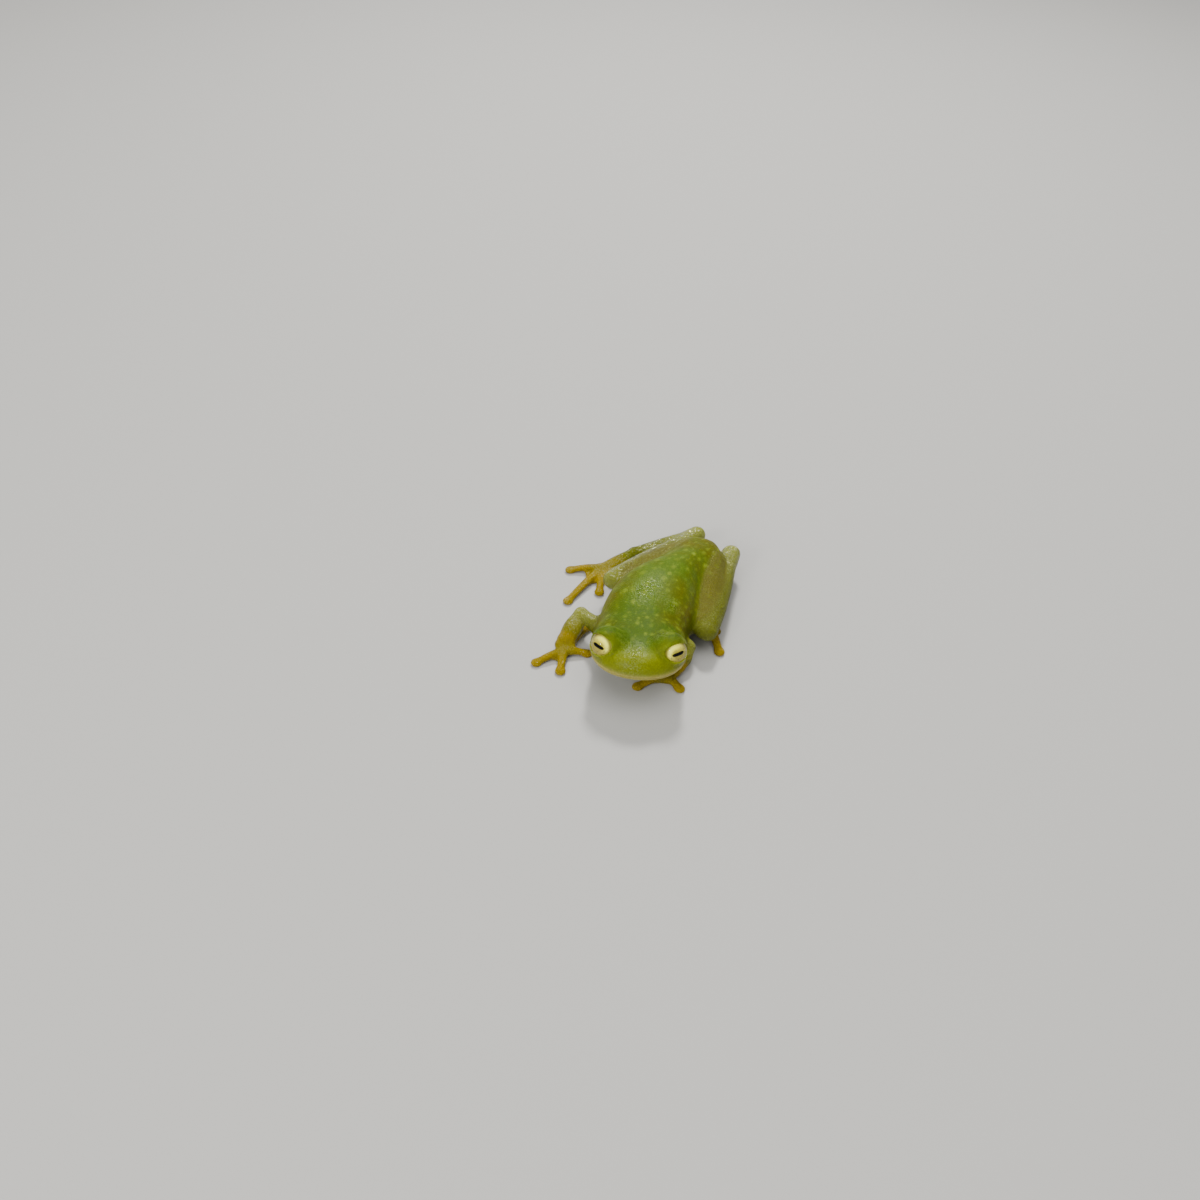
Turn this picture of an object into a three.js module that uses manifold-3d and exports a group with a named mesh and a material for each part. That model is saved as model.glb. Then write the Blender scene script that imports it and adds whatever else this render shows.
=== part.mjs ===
// A glass frog at rest, life size, in millimetres. It faces -Y, its left side is +X and +Z is up.
// The origin lies on the floor, under the flat of the belly.
import * as THREE from 'three';
import { ParametricGeometry } from 'three/addons/geometries/ParametricGeometry.js';
import { mergeVertices } from 'three/addons/utils/BufferGeometryUtils.js';
import Module from 'manifold-3d';

const wasm = await Module();
wasm.setup();

const { degToRad } = THREE.MathUtils;
const at = (x, y, z) => new THREE.Vector3(x, y, z);

// Gaps between neighbouring parts
const GAP = 0.3;
const EYE_GAP = 0.25;

// Trunk: a station is the distance along the back from the tip of the snout
const BODY_LENGTH = 26.5;
const ORIGIN_STATION = 14.5;
const BEND_BACK_STATION = 17;
const BEND_FRONT_STATION = 7.5;
const HEAD_TURN = degToRad(29.5);
const HEAD_PITCH = degToRad(10.4);
const PITCH_STATION = 8.5;
const PITCH_BLEND = 1.5;
const PITCH_HEIGHT = 3.2;
const NECK_STATION = 7.75;

// Pairs of station and size that the trunk's smooth curves pass through
const HALF_WIDTH = [
  [0, 5], [5.5, 5], [7.5, 4.9], [9, 4.75], [11, 4.95], [14, 4.9],
  [16.5, 4.2], [19, 3.1], [21.5, 2.5], [24, 2.1], [26.5, 1.75],
];
const BACK_HEIGHT = [
  [0, 5.1], [2.2, 5.45], [4, 5.75], [7.5, 6.2], [9.5, 6.35], [12, 6.8],
  [15, 7.05], [17, 6.95], [20, 6.5], [22.5, 6.0], [24.5, 5.6], [26.5, 5.3],
];
const BELLY_HEIGHT = [
  [0, 2.1], [4, 1.6], [6.5, 1.4], [8.5, 0.8], [10.5, 0.05], [12, -0.3],
  [18.5, -0.3], [21, 0.7], [23.5, 2.0], [26.5, 2.9],
];
const WIDEST_HEIGHT = [[0, 3.3], [7, 3.25], [11, 2.8], [19, 2.8], [24, 3.6], [26.5, 4.1]];
const SECTION_POWER_BELOW = [[0, 1.7], [6, 1.8], [10, 2.5], [26.5, 2.5]];
const SECTION_POWER_ABOVE = 2.3;
const SNOUT_PLAN = { reach: 5.5, power: 2.16 };
const SNOUT_ABOVE = { reach: 1.5, power: 2.5 };
const SNOUT_BELOW = { reach: 3.6, power: 1.7 };
const RUMP_ROUND = { reach: 1.9, power: 2 };
const TRUNK_SLICES = 40;
const TRUNK_SIDES = 36;
const SIDE_CROWDING = 0.6;

// Mouth and lips, in the level head before it is pitched up
const MOUTH_HEIGHT = 3.25;
const LIP_SWELL = 0.12;
const LIP_BREADTH = 0.35;
const LIP_END_STATION = 7;
const NOSTRIL = { station: 0.8, side: 1.05, height: 4.62, rim: 0.38, pit: 0.2, opening: 0.28 };

// Eyes: the ball, the lids' cup round it and their opening, an oval that flares forwards
const EYE = { station: 3.1, side: 3.6, height: 5.1, radius: 1.42 };
const LID = { radius: 2.0, length: 2.3, setBack: 0.4, inward: 0.22, lift: 0.08 };
const LID_OPENING = {
  halfWidth: 2.1, halfHeight: 1.1, outward: 0.35, raised: 0.19, start: -0.2, depth: 3.5, flare: 1.25,
};
const GAZE_OUT = degToRad(32);
const GAZE_UP = degToRad(11);

// Legs and arms: joint centres, then half widths from the near end to the far end
const HIND_LEGS = {
  right: {
    hip: at(-2.0, 9.6, 3.3), knee: at(-5.4, 1.6, 2.8), shankTop: at(-6.2, 0.65, 2.8),
    heel: at(-3.15, 14.25, 2.6), ankle: at(-8.2, 8.4, 0.95), spread: at(-9.9, 4.2, 0.45),
    toes: [at(-7.2, 4.4, 0.3), at(-7.4, 2.7, 0.3), at(-7.75, 0.5, 0.3), at(-9.7, -3.0, 0.3),
      at(-12.85, 1.75, 0.3)],
  },
  left: {
    hip: at(1.9, 9.2, 3.3), knee: at(5.9, 0.9, 2.8), shankTop: at(7.05, -0.2, 2.7),
    heel: at(2.25, 13.1, 3.0), ankle: at(4.1, 6.2, 0.75), spread: at(5.6, 3.1, 0.45),
    toes: [at(4.7, 4.0, 0.3), at(4.9, 2.7, 0.3), at(5.5, 1.6, 0.3), at(8.6, 0.3, 0.3),
      at(6.5, 3.0, 0.3)],
  },
};
const ARMS = {
  right: {
    shoulder: at(-1.8, -7.2, 2.9), elbow: at(-5.75, -6.0, 2.45), wrist: at(-5.5, -9.1, 1.0),
    palm: at(-4.9, -10.3, 0.5),
    fingers: [at(-5.3, -5.4, 0.3), at(-2.8, -8.85, 0.3), at(-3.45, -12.9, 0.3), at(-6.3, -13.4, 0.3)],
  },
  left: {
    shoulder: at(4.3, -3.7, 3.0), elbow: at(6.3, -2.8, 1.9), wrist: at(6.4, -5.1, 0.95),
    palm: at(5.95, -6.8, 0.5),
    fingers: [at(4.6, -5.1, 0.3), at(3.3, -7.5, 0.3), at(4.45, -9.8, 0.3), at(8.2, -7.3, 0.3)],
  },
};
const THIGH = { widths: [1.5, 1.7, 1.5, 1.2], heights: [1.6, 1.65, 1.4, 1.1] };
const THIGH_EDGE = 0.9;
const SHANK = { widths: [1.1, 1.3, 1.25, 1.05, 0.9], heights: [1.0, 1.15, 1.05, 0.9, 0.85] };
const TARSUS = { widths: [0.8, 0.95, 0.8], heights: [0.75, 0.7, 0.6] };
const UPPER_ARM = { widths: [1.1, 0.85, 0.72], heights: [1.1, 0.85, 0.72] };
const FOREARM = { widths: [0.75, 1.15, 1.0], heights: [0.72, 0.85, 0.6] };
const DIGIT = { widths: [0.6, 0.5, 0.46], heights: [0.42, 0.36, 0.3] };
// A disc is pressed flat against the floor, so its centre lies lower than its half thickness
const DISC = { length: 0.62, breadth: 0.6, thickness: 0.3, centre: 0.24 };
const PALM = { widths: [1.0, 1.15, 0.9], heights: [0.55, 0.48, 0.4] };
const SOLE = { widths: [0.7, 0.85, 0.7], heights: [0.6, 0.45, 0.38] };
const DIGIT_ARCH = 0.2;
// Each web joins two digits, counted from the inner one, up to a share of their length
const WEB_THICKNESS = 0.5;
const WEB_HOLLOW = 0.72;
const HAND_WEBS = [[2, 3, 0.6], [1, 2, 0.35], [0, 1, 0.25]];
const FOOT_WEBS = [[3, 4, 0.58], [2, 3, 0.6], [1, 2, 0.6]];
const TUBE_CAP = 0.25;

// Colours and surface
const SKINS = {
  back: { color: 0x6a8a12, roughness: 0.35 },
  throat: { color: 0xb4b886, roughness: 0.4 },
  limb: { color: 0x8a9348, roughness: 0.35 },
  digit: { color: 0xb08e10, roughness: 0.35 },
  iris: { color: 0xeee48c, roughness: 0.1 },
};

// A smooth curve through pairs of place and size
function profile(pairs, place) {
  const last = pairs.length - 1;
  const held = THREE.MathUtils.clamp(place, pairs[0][0], pairs[last][0]);
  let i = 0;
  while (i < last - 1 && held > pairs[i + 1][0]) i += 1;
  const slope = (k) => {
    const before = pairs[Math.max(k - 1, 0)];
    const after = pairs[Math.min(k + 1, last)];
    return (after[1] - before[1]) / (after[0] - before[0]);
  };
  const span = pairs[i + 1][0] - pairs[i][0];
  const t = (held - pairs[i][0]) / span;
  const t2 = t * t;
  const t3 = t2 * t;
  return (2 * t3 - 3 * t2 + 1) * pairs[i][1] + (t3 - 2 * t2 + t) * span * slope(i)
    + (3 * t2 - 2 * t3) * pairs[i + 1][1] + (t3 - t2) * span * slope(i + 1);
}

// Rises from 0 at an end to 1 at its reach, as a superellipse does
function rounding(distance, { reach, power }) {
  const rest = 1 - THREE.MathUtils.clamp(distance / reach, 0, 1);
  return (1 - rest ** power) ** (1 / power);
}

// Places a point of the straight, level body on the turned and pitched one
function bend(station, side, height) {
  const blend = THREE.MathUtils.smoothstep(PITCH_STATION + PITCH_BLEND - station, 0, 2 * PITCH_BLEND);
  const pitch = HEAD_PITCH * blend;
  const ahead = PITCH_STATION - station;
  const above = height - PITCH_HEIGHT;
  const pitchedStation = PITCH_STATION - (ahead * Math.cos(pitch) - above * Math.sin(pitch));
  const z = PITCH_HEIGHT + ahead * Math.sin(pitch) + above * Math.cos(pitch);
  const radius = (BEND_BACK_STATION - BEND_FRONT_STATION) / HEAD_TURN;
  const turn = THREE.MathUtils.clamp((BEND_BACK_STATION - pitchedStation) / radius, 0, HEAD_TURN);
  const behind = Math.max(pitchedStation - BEND_BACK_STATION, 0);
  const beyond = Math.max(BEND_FRONT_STATION - pitchedStation, 0);
  const x = radius * (1 - Math.cos(turn)) + beyond * Math.sin(turn) + side * Math.cos(turn);
  const y = BEND_BACK_STATION - ORIGIN_STATION + behind - radius * Math.sin(turn)
    - beyond * Math.cos(turn) + side * Math.sin(turn);
  return at(x, y, z);
}

// The closed solid of a geometry: shared corners are merged and faces with no area left out
function solidOf(geometry) {
  geometry.deleteAttribute('normal');
  geometry.deleteAttribute('uv');
  const merged = mergeVertices(geometry, 1e-5);
  const index = merged.getIndex().array;
  const faces = [];
  for (let i = 0; i < index.length; i += 3) {
    const [a, b, c] = [index[i], index[i + 1], index[i + 2]];
    if (a !== b && b !== c && c !== a) faces.push(a, b, c);
  }
  const vertProperties = new Float32Array(merged.getAttribute('position').array);
  const mesh = new wasm.Mesh({ numProp: 3, vertProperties, triVerts: new Uint32Array(faces) });
  return new wasm.Manifold(mesh);
}

// The trunk's own sides before it is bent: u runs from snout to vent, v round the section
function trunkPoint(u, v, grow) {
  const station = BODY_LENGTH * (1 - Math.cos(Math.PI * u)) / 2;
  const angle = 2 * Math.PI * v - SIDE_CROWDING / 2 * Math.sin(4 * Math.PI * v);
  const above = Math.sin(angle) > 0;
  const rump = rounding(BODY_LENGTH - station, RUMP_ROUND);
  const plan = rump * rounding(station, SNOUT_PLAN);
  const depth = rump * rounding(station, above ? SNOUT_ABOVE : SNOUT_BELOW);
  const widest = profile(WIDEST_HEIGHT, station);
  const edge = profile(above ? BACK_HEIGHT : BELLY_HEIGHT, station);
  const power = above ? SECTION_POWER_ABOVE : profile(SECTION_POWER_BELOW, station);
  const across = Math.sign(Math.cos(angle)) * Math.abs(Math.cos(angle)) ** (2 / power);
  const upward = Math.abs(Math.sin(angle)) ** (2 / power);
  const rise = Math.sign(Math.sin(angle)) * (Math.abs(edge - widest) * depth + grow * plan) * upward;
  const lip = LIP_SWELL * Math.exp(-(((widest + rise - MOUTH_HEIGHT) / LIP_BREADTH) ** 2))
    * THREE.MathUtils.smoothstep(LIP_END_STATION - station, 0, 1) * rounding(station, SNOUT_ABOVE);
  const side = across * (profile(HALF_WIDTH, station) * plan + grow * plan + lip);
  const forward = station - (grow + lip) * (1 - plan) * (station < ORIGIN_STATION ? 1 : -1);
  return bend(forward, side, widest + rise);
}

function trunkSolid(grow = 0) {
  const place = (u, v, target) => target.copy(trunkPoint(u, v, grow));
  return solidOf(new ParametricGeometry(place, TRUNK_SLICES, TRUNK_SIDES));
}

// A block between two stations, sides and heights of the level body, bent with it
function bentBlock([s0, s1], [x0, x1], [z0, z1]) {
  const steps = Math.ceil((s1 - s0) / 1.5);
  const box = new THREE.BoxGeometry(x1 - x0, s1 - s0, z1 - z0, 1, steps, 1);
  box.translate((x0 + x1) / 2, (s0 + s1) / 2, (z0 + z1) / 2);
  const corners = box.getAttribute('position');
  const corner = at(0, 0, 0);
  for (let i = 0; i < corners.count; i += 1) {
    corner.fromBufferAttribute(corners, i);
    const moved = bend(corner.y, corner.x, corner.z);
    corners.setXYZ(i, moved.x, moved.y, moved.z);
  }
  return solidOf(box);
}

// A tube with round ends along a smooth path; sizes are spread evenly along it
function tubeSolid(points, { widths, heights }, { grow = 0, sides = 12, slices = 12 } = {}) {
  const path = new THREE.CatmullRomCurve3(points, false, 'centripetal');
  const spread = (sizes) => sizes.map((size, i) => [i / (sizes.length - 1), size + grow]);
  const widthPairs = spread(widths);
  const heightPairs = spread(heights);
  const place = (u, v, target) => {
    const t = THREE.MathUtils.clamp((u - TUBE_CAP) / (1 - 2 * TUBE_CAP), 0, 1);
    const capAngle = Math.PI / 2 * Math.min(u / TUBE_CAP, (1 - u) / TUBE_CAP, 1);
    const shift = (u < 0.5 ? -1 : 1) * Math.cos(capAngle);
    const width = profile(widthPairs, t);
    const height = profile(heightPairs, t);
    const tangent = path.getTangent(t);
    const side = at(0, 0, 1).cross(tangent).normalize();
    const up = tangent.clone().cross(side);
    const angle = -2 * Math.PI * v;
    target.copy(path.getPoint(t));
    target.addScaledVector(tangent, shift * Math.min(width, height));
    target.addScaledVector(side, width * Math.sin(capAngle) * Math.cos(angle));
    target.addScaledVector(up, height * Math.sin(capAngle) * Math.sin(angle));
  };
  return solidOf(new ParametricGeometry(place, slices, sides));
}

function ballSolid(centre, radius, [wide, high] = [20, 14]) {
  const ball = new THREE.SphereGeometry(radius, wide, high);
  ball.translate(centre.x, centre.y, centre.z);
  return solidOf(ball);
}

const centreOfEye = (sign) => bend(EYE.station, sign * EYE.side, EYE.height);

// Directions in the head's own frame, turned with it
function headDirection(out, up, sign) {
  const turned = HEAD_TURN + sign * out;
  const raised = up + HEAD_PITCH * Math.cos(out);
  return at(Math.sin(turned) * Math.cos(raised), -Math.cos(turned) * Math.cos(raised), Math.sin(raised));
}

// The lids' cup is long, set back along the gaze and thickest above and on the inner side
function lidSolid(sign) {
  const gaze = headDirection(GAZE_OUT, GAZE_UP, sign);
  const cup = new THREE.SphereGeometry(LID.radius, 20, 14);
  cup.scale(1, LID.length / LID.radius, 1);
  cup.translate(sign * LID.inward, -LID.setBack, LID.lift);
  return solidOf(turnToGaze(cup, gaze, sign));
}

// Turns a geometry made along +Y, with its width along X, to the gaze and puts it at the eye's middle
function turnToGaze(geometry, gaze, sign) {
  const level = headDirection(0, Math.PI / 2, sign).cross(gaze).normalize();
  const centre = centreOfEye(sign);
  const above = gaze.clone().cross(level);
  geometry.applyMatrix4(new THREE.Matrix4().makeBasis(level.negate(), gaze, above));
  return geometry.translate(centre.x, centre.y, centre.z);
}

// What is cut away in front of the eye to open the lids
function lidOpening(sign) {
  const { halfWidth, halfHeight, outward, raised, start, depth, flare } = LID_OPENING;
  const cone = new THREE.CylinderGeometry(flare, 1, depth, 24);
  cone.scale(halfWidth, 1, halfHeight);
  cone.translate(-sign * outward, start + depth / 2, raised);
  return solidOf(turnToGaze(cone, headDirection(GAZE_OUT, GAZE_UP, sign), sign));
}

// A low swelling on the snout with the nostril's pit in its outer side
function addNostril(head, sign) {
  const { station, side, height, rim, pit, opening } = NOSTRIL;
  const centre = bend(station, sign * side, height);
  const mouth = centre.clone().addScaledVector(headDirection(GAZE_OUT, Math.PI / 4, sign), opening);
  return head.add(ballSolid(centre, rim, [10, 7])).subtract(ballSolid(mouth, pit, [8, 6]));
}

const CUT_SIDES = [-12, 12];
const MOUTH_UPPER = MOUTH_HEIGHT + GAP / 2;
const MOUTH_LOWER = MOUTH_HEIGHT - GAP / 2;

function headSolid(trunk) {
  const upperHalf = bentBlock([-3, NECK_STATION - GAP / 2], CUT_SIDES, [MOUTH_UPPER, 14]);
  let head = trunk.add(lidSolid(-1)).add(lidSolid(1)).intersect(upperHalf);
  for (const sign of [-1, 1]) {
    const socket = ballSolid(centreOfEye(sign), EYE.radius + EYE_GAP, [18, 12]);
    head = addNostril(head.subtract(lidOpening(sign)).subtract(socket), sign);
  }
  return head;
}

function throatSolid(trunk) {
  return trunk.intersect(bentBlock([-3, NECK_STATION - GAP / 2], CUT_SIDES, [-4, MOUTH_LOWER]));
}

function torsoSolid(trunk) {
  return trunk.subtract(bentBlock([-3, NECK_STATION + GAP / 2], CUT_SIDES, [-6, 16]));
}

// Keeps what lies above the floor
const aboveFloor = (solid) => solid.trimByPlane([0, 0, 1], 0);

// A flat web between two digits, drawn in from its free edge
function webSolid(root, tipA, tipB, reach) {
  const a = root.clone().lerp(tipA, reach);
  const b = root.clone().lerp(tipB, reach);
  const middle = root.clone().lerp(a.clone().add(b).multiplyScalar(0.5), WEB_HOLLOW);
  const outline = new THREE.Shape();
  outline.moveTo(root.x, root.y);
  outline.lineTo(a.x, a.y);
  outline.quadraticCurveTo(middle.x, middle.y, b.x, b.y);
  const shape = { depth: WEB_THICKNESS, bevelEnabled: false, curveSegments: 4 };
  return solidOf(new THREE.ExtrudeGeometry(outline, shape));
}

// A digit from its root to a round flat disc at its tip
function digitSolid(root, tip) {
  const middle = root.clone().lerp(tip, 0.5);
  middle.z = DIGIT.heights[1] + DIGIT_ARCH;
  const shaft = tubeSolid([root, middle, tip], DIGIT, { sides: 8, slices: 6 });
  const disc = new THREE.SphereGeometry(1, 10, 6);
  disc.scale(DISC.length, DISC.breadth, DISC.thickness);
  disc.rotateZ(Math.atan2(tip.y - middle.y, tip.x - middle.x));
  disc.translate(tip.x, tip.y, DISC.centre);
  return shaft.add(solidOf(disc));
}

function pawSolid(core, root, tips, webs) {
  let paw = core;
  for (const tip of tips) paw = paw.add(digitSolid(root, tip));
  for (const [i, j, reach] of webs) paw = paw.add(webSolid(root, tips[i], tips[j], reach));
  return aboveFloor(paw);
}

// Cuts a limb across at a joint and keeps the side that the direction points to
function keepBeyond(solid, joint, direction, clearance) {
  const normal = direction.clone().normalize();
  return solid.trimByPlane(normal.toArray(), normal.dot(joint) + clearance);
}

function armParts(arm, bodyRoom) {
  const upperArm = tubeSolid([arm.shoulder, arm.elbow], UPPER_ARM);
  const elbowRoom = tubeSolid([arm.shoulder, arm.elbow], UPPER_ARM, { grow: GAP });
  const forearm = tubeSolid([arm.elbow, arm.wrist], FOREARM);
  const palm = tubeSolid([arm.wrist, arm.palm], PALM);
  const reach = arm.palm.clone().sub(arm.wrist);
  const hand = pawSolid(palm, arm.palm, arm.fingers, HAND_WEBS);
  return {
    upper_arm: upperArm.subtract(bodyRoom),
    forearm: keepBeyond(forearm.subtract(elbowRoom).subtract(bodyRoom), arm.wrist, reach.clone().negate(),
      GAP / 2),
    hand: keepBeyond(hand, arm.wrist, reach, GAP / 2),
  };
}

function legParts(leg, bodyRoom) {
  const shank = tubeSolid([leg.shankTop, leg.heel], SHANK);
  const shankRoom = tubeSolid([leg.shankTop, leg.heel], SHANK, { grow: GAP });
  const inward = leg.hip.clone().sub(leg.shankTop).setZ(0);
  const along = leg.heel.clone().sub(leg.shankTop).setZ(0).normalize();
  inward.addScaledVector(along, -inward.dot(along));
  const thigh = keepBeyond(tubeSolid([leg.hip, leg.knee], THIGH), leg.shankTop, inward, THIGH_EDGE);
  const tarsus = tubeSolid([leg.heel, leg.ankle], TARSUS);
  const tarsusRoom = tubeSolid([leg.heel, leg.ankle], TARSUS, { grow: GAP });
  const sole = tubeSolid([leg.ankle, leg.spread], SOLE);
  const reach = leg.spread.clone().sub(leg.ankle);
  const foot = pawSolid(sole, leg.spread, leg.toes, FOOT_WEBS);
  return {
    thigh: thigh.subtract(bodyRoom).subtract(shankRoom).subtract(tarsusRoom),
    shank: shank.subtract(bodyRoom),
    tarsus: keepBeyond(tarsus.subtract(shankRoom), leg.ankle, reach.clone().negate(), GAP / 2),
    foot: keepBeyond(foot, leg.ankle, reach, GAP / 2),
  };
}

// Only the largest closed surface of a solid is kept
function largest(solid) {
  return solid.decompose().reduce((a, b) => (b.volume() > a.volume() ? b : a));
}

function meshOf(name, solid, skin) {
  const { vertProperties, triVerts } = largest(solid).getMesh();
  const geometry = new THREE.BufferGeometry();
  geometry.setAttribute('position', new THREE.BufferAttribute(new Float32Array(vertProperties), 3));
  geometry.setIndex(new THREE.BufferAttribute(new Uint32Array(triVerts), 1));
  geometry.computeVertexNormals();
  const mesh = new THREE.Mesh(geometry, new THREE.MeshStandardMaterial({ ...SKINS[skin], metalness: 0 }));
  mesh.name = name;
  return mesh;
}

function frog() {
  const group = new THREE.Group();
  const trunk = trunkSolid();
  const bodyRoom = trunkSolid(GAP);
  group.add(meshOf('head', headSolid(trunk), 'back'));
  group.add(meshOf('lower_jaw', throatSolid(trunk), 'throat'));
  group.add(meshOf('torso', aboveFloor(torsoSolid(trunk)), 'back'));
  for (const [name, sign] of [['right', -1], ['left', 1]]) {
    group.add(meshOf(`eye_${name}`, ballSolid(centreOfEye(sign), EYE.radius, [18, 12]), 'iris'));
    for (const [part, solid] of Object.entries(armParts(ARMS[name], bodyRoom))) {
      group.add(meshOf(`${part}_${name}`, solid, part === 'hand' ? 'digit' : 'limb'));
    }
    for (const [part, solid] of Object.entries(legParts(HIND_LEGS[name], bodyRoom))) {
      group.add(meshOf(`${part}_${name}`, solid, part === 'foot' ? 'digit' : 'limb'));
    }
  }
  return group;
}

export default frog();
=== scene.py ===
"""A glass frog at rest, life size: one moist skin over the frame's flesh, its two eyes and a studio.

Sizes are in millimetres in the frame's own axes, and become metres when a mesh or a light is placed.
"""

import logging
import math
from dataclasses import dataclass, field
from enum import Enum

import bpy
import numpy as np
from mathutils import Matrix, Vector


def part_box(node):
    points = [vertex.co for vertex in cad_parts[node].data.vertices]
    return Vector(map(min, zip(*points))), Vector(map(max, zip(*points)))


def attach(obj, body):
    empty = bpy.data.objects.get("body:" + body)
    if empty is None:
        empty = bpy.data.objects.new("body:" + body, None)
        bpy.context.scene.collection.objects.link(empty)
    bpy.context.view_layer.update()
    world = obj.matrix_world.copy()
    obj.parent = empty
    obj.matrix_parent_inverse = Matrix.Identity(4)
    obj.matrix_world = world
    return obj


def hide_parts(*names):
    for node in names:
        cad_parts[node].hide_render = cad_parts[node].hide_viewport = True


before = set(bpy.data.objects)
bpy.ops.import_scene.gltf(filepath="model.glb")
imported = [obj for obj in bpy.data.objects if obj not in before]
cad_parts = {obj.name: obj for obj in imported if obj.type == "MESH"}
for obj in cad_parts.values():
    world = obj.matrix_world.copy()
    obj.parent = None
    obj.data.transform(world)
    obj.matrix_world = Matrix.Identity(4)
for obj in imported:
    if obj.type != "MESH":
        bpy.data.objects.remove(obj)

import openvdb
from mathutils import Matrix

log = logging.getLogger("glass_frog")

MM = 0.001
FAR = 9.0

Array = np.ndarray
Range = tuple[float, float]
Point = tuple[float, float, float]
Colour = tuple[float, float, float, float]
Pairs = tuple[Range, ...]
Sizes = tuple[float, ...]
Links = tuple[tuple[int, int, float], ...]
Socket = bpy.types.NodeSocket
Sockets = bpy.types.bpy_prop_collection
Values = dict[str | int, object]


class Side(Enum):
    """The frog's own right and left, as the sign of their side of the body."""

    RIGHT = -1
    LEFT = 1

    @property
    def label(self) -> str:
        """The word that ends the names of this side's nodes and pieces."""
        return self.name.lower()


def profile(pairs: Pairs, place: Array) -> Array:
    """A smooth curve through pairs of place and size.

    It runs in cubic Hermite arcs, and its slope at a place is that of the chord of the place's neighbours.

    Args:
        pairs: places in rising order, each with its size.
        place: where the curve is read, held inside the first and last place.

    Returns:
        The sizes at those places.
    """
    knots, sizes = np.array(pairs, float).T
    before = np.maximum(np.arange(len(knots)) - 1, 0)
    after = np.minimum(np.arange(len(knots)) + 1, len(knots) - 1)
    slopes = (sizes[after] - sizes[before]) / (knots[after] - knots[before])
    held = np.clip(place, knots[0], knots[-1])
    i = np.clip(np.searchsorted(knots, held, side="right") - 1, 0, len(knots) - 2)
    span = knots[i + 1] - knots[i]
    t = (held - knots[i]) / span
    rise = 3 * t**2 - 2 * t**3
    lean = (t**3 - 2 * t**2 + t) * span * slopes[i] + (t**3 - t**2) * span * slopes[i + 1]
    return (1 - rise) * sizes[i] + rise * sizes[i + 1] + lean


def rounding(distance: Array, reach: float, power: float) -> Array:
    """The superellipse from 0 at an end to 1 at its reach: (1 - (1 - d / reach) ** p) ** (1 / p)."""
    rest = 1 - np.clip(distance / reach, 0, 1)
    return (1 - rest**power) ** (1 / power)


def ease(value: Array, low: float, high: float) -> Array:
    """A soft step, 3t² - 2t³, from 0 at low to 1 at high."""
    t = np.clip((value - low) / (high - low), 0, 1)
    return t * t * (3 - 2 * t)


def bell(distance: Array, breadth: float) -> Array:
    """A bell of height 1: exp(-(distance / breadth) ** 2)."""
    return np.exp(-((distance / breadth) ** 2))


def unit(vectors: Array) -> Array:
    """Each vector at length 1."""
    return vectors / np.linalg.norm(vectors, axis=-1, keepdims=True)


def apart(points: Array, place: Array | Point) -> Array:
    """The distance of each point from a place."""
    return np.linalg.norm(points - place, axis=-1)


def fuse(a: Array, b: Array, reach: Array | float) -> Array:
    """Joins two distance fields with a fillet.

    The result is b + (a - b)h - reach h(1 - h), where h = 0.5 + (b - a) / 2 reach, held between 0 and 1.
    """
    h = np.clip(0.5 + 0.5 * (b - a) / reach, 0, 1)
    return b + (a - b) * h - reach * h * (1 - h)


def carve(a: Array, b: Array, reach: Array | float) -> Array:
    """Keeps what lies in both distance fields, with a rounded edge: their fillet, turned inside out."""
    return -fuse(-a, -b, reach)


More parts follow.
